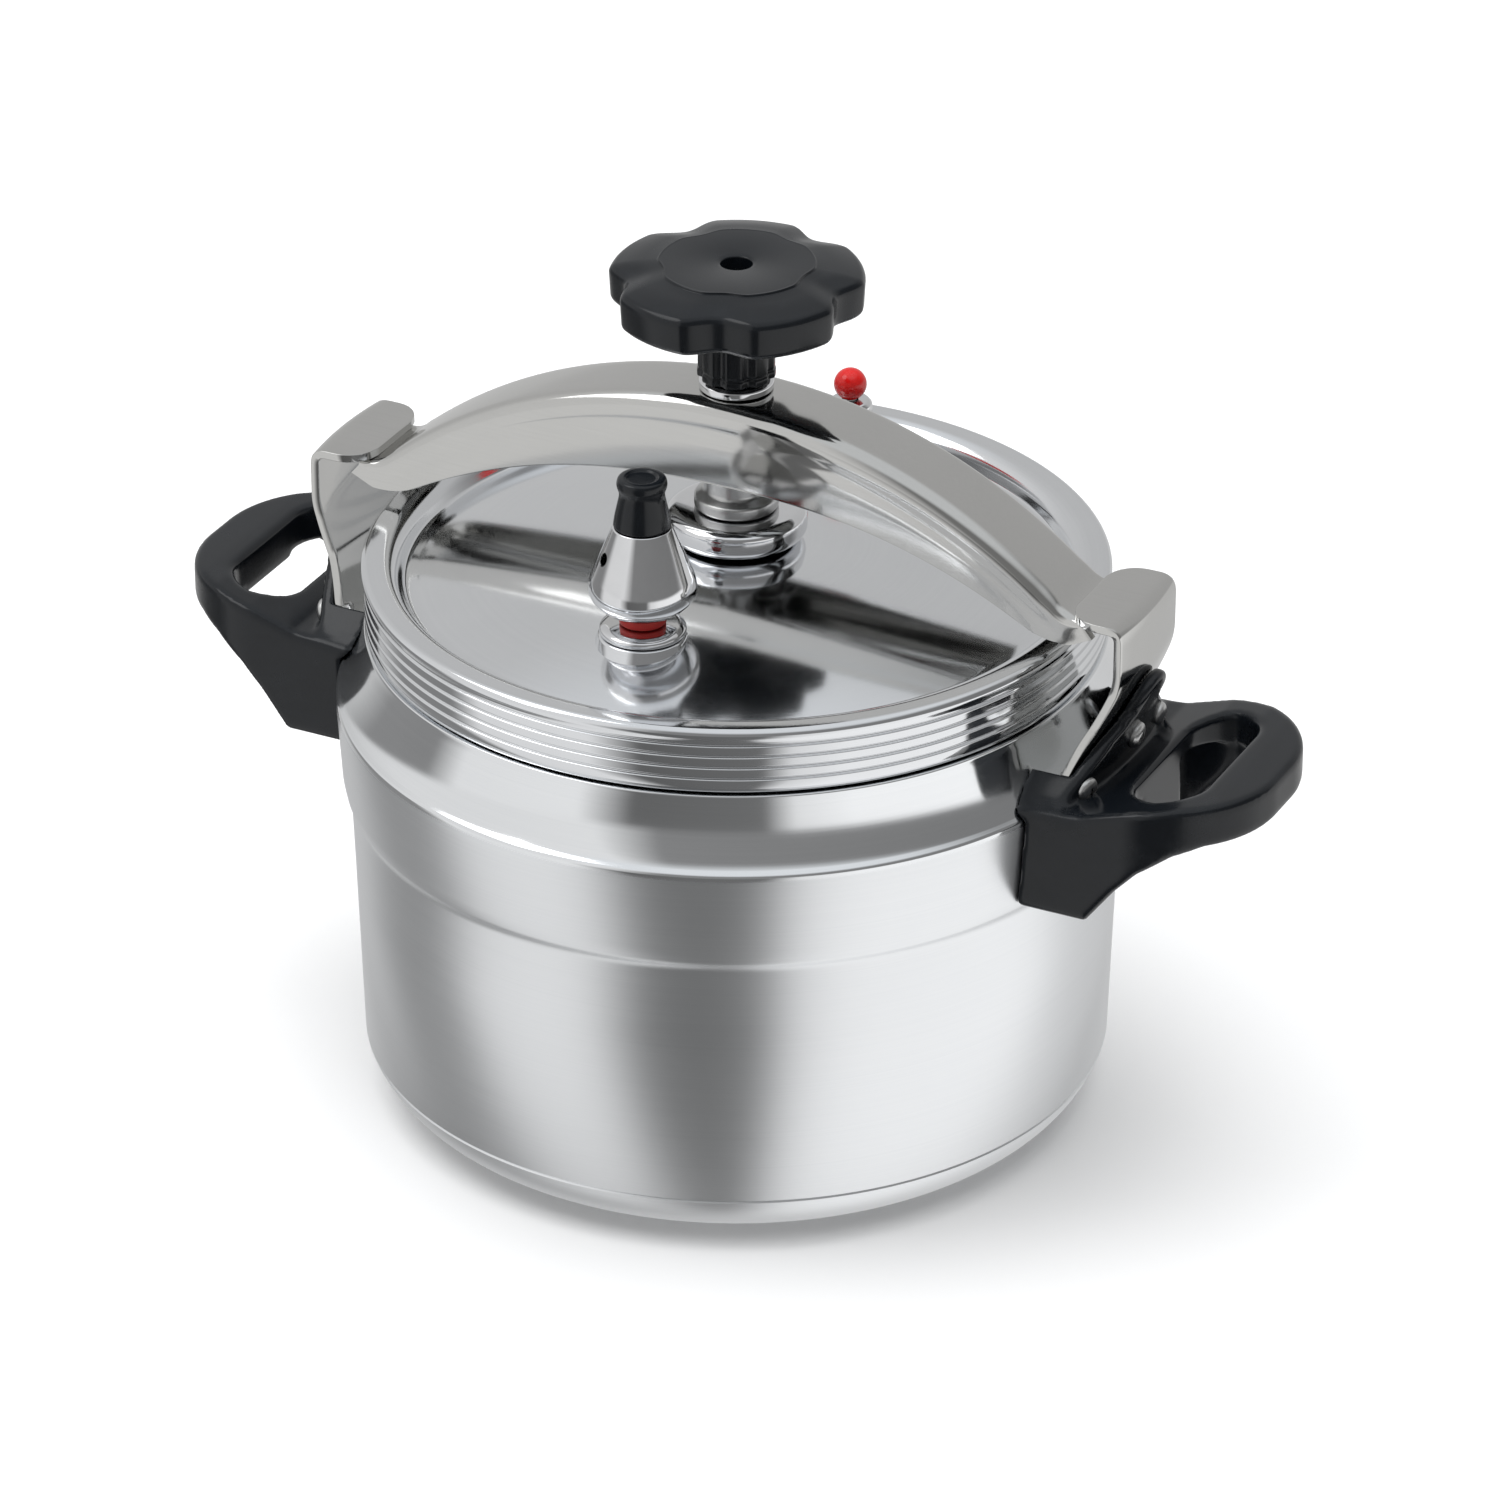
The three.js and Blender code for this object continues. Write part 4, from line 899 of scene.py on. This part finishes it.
def chrome(g):
    """Bright chrome plate with the faintest haze and hairline rub marks."""
    haze = g.noise((150, 150, 150), detail=5, roughness=0.6)
    rub = g.noise((3200, 260, 700), detail=2)
    g.surface({
        "Base Color": g.tint(haze, (0.74, 0.745, 0.76), (0.84, 0.845, 0.855)),
        "Metallic": 1.0,
        "Roughness": 0.035 + haze * 0.05 + rub * 0.03,
        "Normal": g.bump(rub * 0.6 + haze * 0.4, 0.000003),
    })


bright_chrome = finish("bright_chrome", chrome)
boss_low, boss_high = box_mm("center_boss")
BOSS_R = boss_high.y
boss = turned("boss_cup", rounded([
    (3.4, boss_low.z, 0.2),
    (BOSS_R - 2.6, boss_low.z, 1.4),
    (BOSS_R, boss_low.z + 2.6, 1.6),
    (BOSS_R - 0.3, boss_high.z - 1.6, 1),
    (BOSS_R - 2.6, boss_high.z, 1.6),
    (6.4, boss_high.z, 0.4),
    (6.4, boss_high.z - 2.2, 0.3),
    (3.4, boss_high.z - 2.2, 0.2),
], closed=True), sides=96)
dress(boss, bright_chrome, "lid", "chrome", "center_boss")
recoat("boss_rivet", small_steel)


# ---- steam vent and weight ----
# A chromed stem with a wide collar stands through the lid, and the conical weight hangs on it by gravity.
# The weight is turned brass, chromed, with a smooth black cap and one steam hole drilled in its cone.

VENT = centre_of("vent_stem")
stem_low, stem_high = box_mm("vent_stem")
VENT_SEAT_Z = dome_z(abs(VENT[1])) + 1
stem = turned("vent_pipe", rounded([
    (1.2, stem_low.z),
    (4.9, stem_low.z, 0.4),
    (4.9, VENT_SEAT_Z + 0.4),
    (13.2, VENT_SEAT_Z + 0.4, 0.5),
    (13.2, VENT_SEAT_Z + 2, 0.7),
    (11.4, VENT_SEAT_Z + 3.2, 1),
    (4.9, VENT_SEAT_Z + 3.2, 0.5),
    (4.9, VENT_SEAT_Z + 7, 0.4),
    (3.1, VENT_SEAT_Z + 8, 0.4),
    (3.1, stem_high.z - 1, 0.5),
    (2.3, stem_high.z, 0.3),
    (1.2, stem_high.z),
], closed=True), sides=64, centre=VENT)
dress(stem, bright_chrome, "lid", "chrome", "vent_stem")


def glossy_plastic(g, dark, light, roughness):
    """A moulded coloured plastic or silicone with a slight mottle."""
    mottle = g.noise((300, 300, 300), detail=4, roughness=0.6)
    peel = g.noise((2400, 2400, 2400), detail=2)
    g.surface({
        "Base Color": g.tint(mottle, dark, light),
        "Roughness": roughness + mottle * 0.08 + peel * 0.05,
        "Normal": g.bump(peel, 0.00001),
    })


red_seal = finish("red_silicone", glossy_plastic, (0.45, 0.015, 0.012), (0.62, 0.03, 0.022), 0.38)
ring = seal_ring("vent_seal_ring", "vent_seal", VENT_BORE_R, 64, 0.7)
dress(ring, red_seal, "lid", "red_silicone", "vent_seal")

weight_low, weight_high = box_mm("weight_body")
WEIGHT_R = (weight_high.x - weight_low.x) / 2
weight = turned("weight_cone", rounded([
    (3.7, weight_low.z + 1.6),
    (5.9, weight_low.z, 0.5),
    (7.6, weight_low.z, 1),
    (12.4, weight_low.z + 1.8, 3),
    (WEIGHT_R - 0.6, weight_low.z + 5.6, 3),
    (WEIGHT_R, weight_low.z + 8.6, 1.6),
    (WEIGHT_R - 0.6, weight_low.z + 11.4, 2),
    (8.9, weight_high.z, 0.5),
    (3.7, weight_high.z),
], steps=8, closed=True), sides=128, centre=VENT)
STEAM_HOLE_ANGLE = math.radians(-131)
drill = turned("steam_drill", [(0, 6), (2, 6), (2, 20), (0, 20)], sides=40)
aim = Matrix.Rotation(STEAM_HOLE_ANGLE, 4, "Z") @ Matrix.Rotation(math.pi / 2, 4, "Y")
drill.data.transform(Matrix.Translation(Vector((*VENT, weight_high.z - 9)) * MM) @ aim)
cut(weight, drill)
dress(weight, bright_chrome, "weight", "chrome", "weight_body")
for node in ("vent_nut", "vent_filter", "weight_needle"):
    recoat(node, small_steel)

cap_black = finish("bakelite_cap_and_knob", bakelite)
cap_low, cap_high = box_mm("weight_cap")
cap_foot = weight_high.z + 0.3
cap = turned("weight_knob", rounded([
    (0, cap_low.z),
    (3.4, cap_low.z, 0.4),
    (3.4, cap_foot, 0.3),
    (8.8, cap_foot, 0.7),
    (8.3, cap_foot + 3.4, 1.4),
    (6.7, cap_high.z - 5.4, 2.4),
    (7.8, cap_high.z - 2.4, 1.2),
    (7.2, cap_high.z - 0.2, 0.9),
    (5, cap_high.z, 0.4),
    (4.4, cap_high.z - 0.7, 0.5),
    (0, cap_high.z - 0.7),
], steps=6), sides=80, centre=VENT)
dress(cap, cap_black, "weight", "bakelite", "weight_cap")


# ---- safety valve ----
# A chromed hexagonal housing behind the boss, with a steel pin that pressure lifts.
# The pin wears a glossy red ball, so that it is seen above the beam when it rises.

SAFETY = centre_of("safety_housing")
housing_low, housing_high = box_mm("safety_housing")
hex_low = dome_z(SAFETY[1]) + 3
HEX_R = 9.8


def hex_band():
    """The housing's hexagonal spanner faces, chamfered top and bottom."""
    chamfer = HEX_R - 1.4
    levels = [(0, 0), (chamfer, 0), (HEX_R, 0.6), (HEX_R, 5), (chamfer, 5.6), (0, 5.6)]
    section = [(r, hex_low + rise) for r, rise in levels]
    return turned("hex_band", section, sides=6, centre=SAFETY, crease=25)


barrel = turned("barrel", rounded([
    (2.6, housing_low.z),
    (5.8, housing_low.z, 0.4),
    (5.8, hex_low + 1),
    (7, hex_low + 4.6),
    (7, housing_high.z - 1.4, 0.6),
    (5.8, housing_high.z, 0.6),
    (2.6, housing_high.z),
], closed=True), sides=64, centre=SAFETY)
housing = joined("safety_body", hex_band(), barrel)
dress(housing, bright_chrome, "lid", "chrome", "safety_housing")
recoat("safety_nut", small_steel)
recoat("safety_seal", rubber)

pin_low, pin_high = box_mm("float_pin")
pin = turned("float_stem", rounded([
    (0, pin_low.z),
    (4.2, pin_low.z, 0.4),
    (4.2, pin_low.z + 1.4, 0.4),
    (2.2, pin_low.z + 1.4, 0.2),
    (2.2, pin_high.z, 0.3),
    (0, pin_high.z),
]), sides=48, centre=SAFETY)
dress(pin, small_steel, "float", "fastener_steel", "float_pin")

red_gloss = finish("glossy_red_cap", glossy_plastic, (0.50, 0.006, 0.006), (0.66, 0.012, 0.01), 0.12)
ball_low, ball_high = box_mm("float_cap")
BALL_R = (ball_high.y - ball_low.y) / 2
ball_z = ball_high.z - BALL_R
arc = [math.radians(-64 + 154 * i / 24) for i in range(25)]
ball_section = [(0, ball_z - 1), (2.5, ball_z - 1), (2.5, ball_low.z)]
ball_section += [(max(0, BALL_R * math.cos(a)), ball_z + BALL_R * math.sin(a)) for a in arc[:-1]]
ball = turned("float_ball", ball_section + [(0, ball_high.z)], sides=64, centre=SAFETY)
dress(ball, red_gloss, "float", "red_cap", "float_cap")


# ---- clamp beam ----
# An arched channel of thick polished steel, with round shoulders and flanges that run out to points.
# Its flat tongues sit under the hooks' flaps, and a chromed bush is pressed into the crown for the screw.

BEAM_HIGH = box_mm("clamp_beam")[1]
BEAM_HALF = BEAM_HIGH.y
CROWN_Z = BEAM_HIGH.z
TONGUE_Z = CREST_Z + 11.9
TONGUE_R = 123.5
TIP_R = BEAM_HIGH.x
BEAM_THICK = 2.5
BEAM_DEPTH = 26.5
ARCH_R = 175
SHOULDER = 5.2


def web_line():
    """The beam's top from the crown to the end of one tongue."""
    foot = TONGUE_R - 11.5
    xs = [foot * i / 40 for i in range(41)]
    arch = [(x, CROWN_Z - ARCH_R + math.sqrt(ARCH_R ** 2 - x * x)) for x in xs]
    toe = bow(arch[-1], (foot + 4.2, TONGUE_Z), (TONGUE_R - 2, TONGUE_Z), 8)[1:]
    return arch + toe + [(TONGUE_R, TONGUE_Z)]


def flange_edge(x):
    """Height of the flange's lower edge."""
    low = CROWN_Z - BEAM_DEPTH
    end = TONGUE_R - 18.5
    drop = low - TONGUE_Z + 6.3
    if x < end:
        return low - drop * (x / end) ** 2.354
    toe = bow((end, low - drop), (end + 6, TONGUE_Z - 9), (TONGUE_R - 4.5, TONGUE_Z - 8.5), 8)
    toe.append((TIP_R, TONGUE_Z - 5))
    return float(np.interp(x, [p[0] for p in toe], [p[1] for p in toe]))


def beam_station(x, z):
    """One cross-section of the beam's outer face, from the far flange over the web to the near flange."""
    fade = min(1, max(0, (TONGUE_R - x) / 14))
    round_r = SHOULDER * (0.35 + 0.65 * fade)
    tip = (TIP_R - TONGUE_R) * (1 - min(1, (TONGUE_R - x) / 9))
    low = flange_edge(min(x + tip, TIP_R))
    flare = 0.5 * fade
    half = BEAM_HALF - flare
    side = []
    depth = z - round_r - low
    for share in (1, 0.97, 0.8, 0.62, 0.45, 0.3, 0.22, 0.12, 0):
        crease = 0.35 * fade * math.exp(-(((share * depth - 4) / 1.6) ** 2))
        y = half + flare * share - crease
        side.append((x + tip * share, y, z - round_r - depth * share))
    arc = []
    for i in range(1, 7):
        a = math.pi / 2 * i / 6
        arc.append((x, half - round_r + round_r * math.cos(a), z - round_r + round_r * math.sin(a)))
    edge = half - round_r
    web = [(x, edge * share, z + 0.25 * (1 - share * share)) for share in (0.75, 0.5, 0.25)]
    near = side + arc + web
    return [(a, b, c) for a, b, c in near] + [(x, 0, z + 0.25)] + [(a, -b, c) for a, b, c in reversed(near)]


beam_steel = finish("polished_steel_beam", polished_steel)
stations = web_line()
right_half = [beam_station(x, z) for x, z in stations]
left_half = [[(-a, b, c) for a, b, c in row] for row in reversed(right_half[1:])]
beam = sheet_grid("beam_channel", left_half + right_half, BEAM_THICK, 0.5)
dress(beam, beam_steel, "beam", "polished_steel", "clamp_beam")

bush_low, bush_high = box_mm("beam_bush")
BUSH_R = bush_high.y
neck_low = CROWN_Z - 3.4
bush = turned("beam_bush_ring", rounded([
    (6.4, bush_low.z, 0.3),
    (BUSH_R, bush_low.z, 0.8),
    (BUSH_R, neck_low, 0.4),
    (BUSH_R - 3.4, neck_low, 0.2),
    (BUSH_R - 3.4, CROWN_Z + 0.4, 0.1),
    (BUSH_R, CROWN_Z + 0.4, 0.4),
    (BUSH_R, bush_high.z - 1, 0.5),
    (BUSH_R - 1.6, bush_high.z, 0.7),
    (6.4, bush_high.z, 0.3),
], closed=True), sides=80)
dress(bush, bright_chrome, "beam", "chrome", "beam_bush")


# ---- clamp screw and foot ----
# A steel screw with a trapezoid thread turns in the bush and pushes a loose foot down on the boss.
# The foot is kept on by a spring clip in a groove, so it stays still while the screw turns in it.

screw_low, screw_high = box_mm("clamp_screw")
SCREW_R = screw_high.x
THREAD_PITCH = 2.0


def thread_tree():
    """A ridge that winds along a helix round Z."""
    sockets = {label: "Float" for label in ("Turns", "Radius", "Height", "Ridge")} | {"Finish": "Material"}
    tree, g, inputs = new_tree("wound_ridge", sockets)
    helix = g.node("GeometryNodeCurveSpiral", {}, {
        "Resolution": 36,
        "Rotations": inputs["Turns"],
        "Start Radius": inputs["Radius"],
        "End Radius": inputs["Radius"],
        "Height": inputs["Height"],
    })
    upright = g.node("GeometryNodeSetCurveNormal", {"mode": "Z_UP"}, {"Curve": helix})
    ridge = g.node("GeometryNodeCurvePrimitiveCircle", {}, {"Resolution": 6, "Radius": inputs["Ridge"]})
    sweep = {"Curve": upright, "Profile Curve": ridge, "Fill Caps": True}
    swept = g.node("GeometryNodeCurveToMesh", {}, sweep)
    both = g.node("GeometryNodeJoinGeometry", {}, {0: inputs["Geometry"]})
    g.tree.links.new(swept.socket, both.socket.node.inputs[0])
    close_tree(g, both, inputs["Finish"])
    return tree


clip_z = box_mm("foot_clip")[0].z
thread_low = clip_z + 5
core = turned("screw_core", rounded([
    (0, screw_low.z),
    (SCREW_R - 1, screw_low.z, 0.3),
    (SCREW_R - 0.2, screw_low.z + 1, 0.3),
    (SCREW_R - 0.2, clip_z - 0.3),
    (SCREW_R - 1, clip_z - 0.3),
    (SCREW_R - 1, clip_z + 1.5),
    (SCREW_R - 0.2, clip_z + 1.5),
    (SCREW_R - 0.2, clip_z + 3.4, 0.2),
    (SCREW_R - 0.9, clip_z + 4, 0.2),
    (SCREW_R - 0.9, screw_high.z - 0.4, 0.3),
    (2.7, screw_high.z, 0.2),
    (2.7, screw_high.z - 7),
    (0, screw_high.z - 7),
]), sides=64)
core.data.transform(Matrix.Translation((0, 0, -thread_low * MM)))
thread_height = screw_high.z - 1 - thread_low
screw = grown("clamp_screw_thread", core, thread_tree(), {
    "Turns": thread_height / THREAD_PITCH,
    "Radius": (SCREW_R - 0.75) * MM,
    "Height": thread_height * MM,
    "Ridge": 0.72 * MM,
    "Finish": small_steel,
})
screw.data.transform(Matrix.Translation((0, 0, thread_low * MM)))
dress(screw, small_steel, "knob", "fastener_steel", "clamp_screw")

foot_low, foot_high = box_mm("screw_foot")
FOOT_R = foot_high.y
foot = turned("clamp_foot", rounded([
    (0, foot_low.z),
    (FOOT_R, foot_low.z, 1),
    (FOOT_R, foot_low.z + 3.8, 0.8),
    (9.8, foot_low.z + 5.6, 1),
    (9.8, foot_high.z, 0.9),
    (6.4, foot_high.z, 0.3),
    (6.4, clip_z + 1.5),
    (8.3, clip_z + 1.5),
    (8.3, clip_z - 0.3),
    (6.4, clip_z - 0.3),
    (6.4, foot_low.z + 4.2),
    (0, foot_low.z + 4.2),
]), sides=80)
dress(foot, small_steel, "foot", "fastener_steel", "screw_foot")
recoat("foot_clip", small_steel)


# ---- knob ----
# A five-lobed knob of black bakelite with a crowned top, moulded with a fluted hub over a steel insert.
# A cross-head screw in its centre well locks it to the clamp screw.

knob_low, knob_high = box_mm("knob")
KNOB_R = 39
KNOB_HEIGHT = 15.6
HUB_R = 12
RIM_LINE_R = 24
knob_under = knob_high.z - KNOB_HEIGHT


def scallop_tree():
    """Draws a turned piece in at even notches round Z, more and more from an inner to a full radius."""
    labels = ("Notches", "Depth", "Inner radius", "Full radius", "Sharpness")
    sockets = {label: "Float" for label in labels} | {"Finish": "Material"}
    tree, g, inputs = new_tree("drawn_in_notches", sockets)
    spot = g.node("ShaderNodeSeparateXYZ", {}, {0: g.node("GeometryNodeInputPosition")})
    x, y = spot.out("X"), spot.out("Y")
    radius = (x * x + y * y) ** 0.5
    angle = y.maths("ARCTAN2", y, x)
    wave = angle.maths("COSINE", angle * inputs["Notches"])
    notch = wave.maths("MAXIMUM", wave, 0) ** inputs["Sharpness"]
    reach = g.step(radius, inputs["Inner radius"], inputs["Full radius"])
    keep = 1 - notch * reach * inputs["Depth"] / radius.maths("MAXIMUM", radius, 0.0001)
    place = g.node("ShaderNodeCombineXYZ", {}, {"X": x * keep, "Y": y * keep, "Z": spot.out("Z")})
    moved = g.node("GeometryNodeSetPosition", {}, {"Geometry": inputs["Geometry"], "Position": place})
    close_tree(g, moved, inputs["Finish"])
    return tree


SCALLOP = scallop_tree()
top = knob_high.z
crown = turned("knob_crown", rounded([
    (0, top - 9),
    (4.7, top - 9),
    (4.8, top - 0.5, 0.5),
    (6.4, top),
    (RIM_LINE_R - 0.8, top - 0.1, 0.2),
    (RIM_LINE_R - 0.2, top, 0.2),
    (RIM_LINE_R + 0.2, top - 0.7, 0.2),
    (KNOB_R - 7.5, top - 1.6, 4),
    (KNOB_R - 1.2, top - 3.2, 1.1),
    (KNOB_R, top - 4.9, 1.3),
    (KNOB_R - 0.5, knob_under + 1.6, 1.6),
    (KNOB_R - 2.4, knob_under, 1.2),
    (HUB_R + 3, knob_under, 2),
    (HUB_R - 2, knob_under - 1.4),
    (0, knob_under - 1.4),
], steps=5), sides=320)
crown_grown = grown("crown_star", crown, SCALLOP, {
    "Notches": 5.0,
    "Depth": 5.0 * MM,
    "Inner radius": 16 * MM,
    "Full radius": (KNOB_R - 2) * MM,
    "Sharpness": 1.6,
    "Finish": cap_black,
})
hub = turned("knob_hub", rounded([
    (6.4, knob_low.z),
    (HUB_R, knob_low.z, 0.5),
    (HUB_R, knob_low.z + 2, 0.5),
    (HUB_R - 0.5, knob_low.z + 2.6, 0.3),
    (HUB_R - 0.2, knob_low.z + 3.4, 0.3),
    (HUB_R - 0.2, knob_under - 2, 0.6),
    (HUB_R + 1.4, knob_under + 0.6),
    (6.4, knob_under + 0.6),
], closed=True), sides=240)
hub_grown = grown("hub_flutes", hub, SCALLOP, {
    "Notches": 8.0,
    "Depth": 1.3 * MM,
    "Inner radius": (HUB_R - 1.2) * MM,
    "Full radius": (HUB_R - 0.4) * MM,
    "Sharpness": 1.2,
    "Finish": cap_black,
})
knob = joined("knob_star", crown_grown, hub_grown)
knob.data.set_sharp_from_angle(angle=math.radians(40))
dress(knob, cap_black, "knob", "bakelite", "knob")
recoat("knob_insert", small_steel)

lock_low, lock_high = box_mm("knob_lock_screw")
lock_seat = lock_high.z - 2.4
lock = pan_screw(4.2, 2.3, 2.4, lock_seat - lock_low.z)
lock.name = "knob_lock"
lock.data.transform(Matrix.Translation((0, 0, lock_seat * MM)))
dress(lock, small_steel, "knob", "fastener_steel", "knob_lock_screw")


# ---- studio ----
# A plain white floor, a soft light above it and a surround of broad white screens with gaps between them.
# The floor is kept out of the metal's reflections, which show the screens instead.

CAMERA_TURN = math.radians(26.5)
CAMERA_RISE = math.radians(28.65)
CAMERA_DISTANCE = 2.403
TARGET = Vector((0, 0, 0.100))
FRONT = Vector((math.sin(CAMERA_TURN), -math.cos(CAMERA_TURN), 0))
RIGHT = Vector((math.cos(CAMERA_TURN), math.sin(CAMERA_TURN), 0))


def screens():
    """The surround: grey screens all round by their bearing from the camera, and a white ceiling."""
    world = bpy.data.worlds.new("studio")
    bpy.context.scene.world = world
    world.use_nodes = True
    world.node_tree.nodes.clear()
    g = Graph(world.node_tree)
    way = g.node("ShaderNodeTexCoord", output="Generated")

    def along(direction):
        ends = {0: way, 1: direction}
        return g.node("ShaderNodeVectorMath", {"operation": "DOT_PRODUCT"}, ends, output="Value")

    def ring(levels):
        stops = [(0.5 + degrees / 360, grey) for degrees, grey in levels]
        return g.node("ShaderNodeValToRGB", {"stops": stops}, {0: bearing})

    bearing = way.maths("ARCTAN2", along(RIGHT), along(FRONT)) / (2 * math.pi) + 0.5
    lower = ring((
        (-180, 0.62), (-146, 0.58), (-126, 0.26), (-98, 0.24), (-86, 0.80), (-46, 0.84), (-30, 0.13),
        (8, 0.16), (17, 0.80), (34, 0.98), (100, 1.04), (118, 0.70), (150, 0.60), (180, 0.62),
    ))
    upper = ring((
        (-180, 0.55), (-140, 0.60), (-112, 0.74), (-40, 0.80),
        (-22, 0.24), (95, 0.20), (116, 0.50), (180, 0.55),
    ))
    rise = along(Vector((0, 0, 1)))
    sides = g.tint(g.step(rise, 0.0, 0.12), lower, upper)
    grey = g.tint(g.step(rise, 0.66, 0.9), sides, (0.76, 0.78, 0.80))
    seen = g.node("ShaderNodeLightPath", output="Is Camera Ray")
    shade = g.tint(seen, grey, (0.97, 0.97, 0.97))
    light = g.node("ShaderNodeBackground", {}, {"Color": shade, "Strength": 1.0})
    g.node("ShaderNodeOutputWorld", {}, {"Surface": light})


def lamp(name, place, size, power, glossy):
    data = bpy.data.lights.new(name, "AREA")
    data.energy = power
    data.size = size
    light = linked(name, data)
    light.location = place
    light.rotation_euler = (TARGET - Vector(place)).to_track_quat("-Z", "Y").to_euler()
    light.visible_glossy = glossy


def white_floor(g):
    """Matt white paper with a hint of mottle."""
    mottle = g.noise((6, 6, 6), detail=2)
    g.surface({"Base Color": g.tint(mottle, (0.93, 0.93, 0.93), (0.95, 0.95, 0.95)), "Roughness": 0.9})


screens()
lamp("overhead", (0, 0, 2.4), 3.0, 62, False)
lamp("key", (-0.9, -0.5, 1.6), 0.9, 5, True)
bpy.ops.mesh.primitive_circle_add(vertices=64, radius=30, fill_type="NGON", location=(0, 0, -0.0002))
floor = bpy.context.object
floor.name = "studio_floor"
floor.data.materials.append(finish("white_floor", white_floor))
floor.visible_glossy = False

lens = bpy.data.cameras.new("camera")
lens.lens = 185
lens.sensor_width = 36
lens.shift_x = 0.009
lens.shift_y = 0.020
lens.clip_end = 200
camera = linked("camera", lens)
back = FRONT * math.cos(CAMERA_RISE) + Vector((0, 0, math.sin(CAMERA_RISE)))
camera.location = TARGET + back * CAMERA_DISTANCE
camera.rotation_euler = (-back).to_track_quat("-Z", "Y").to_euler()
bpy.context.scene.camera = camera
bpy.context.scene.view_settings.view_transform = "Standard"
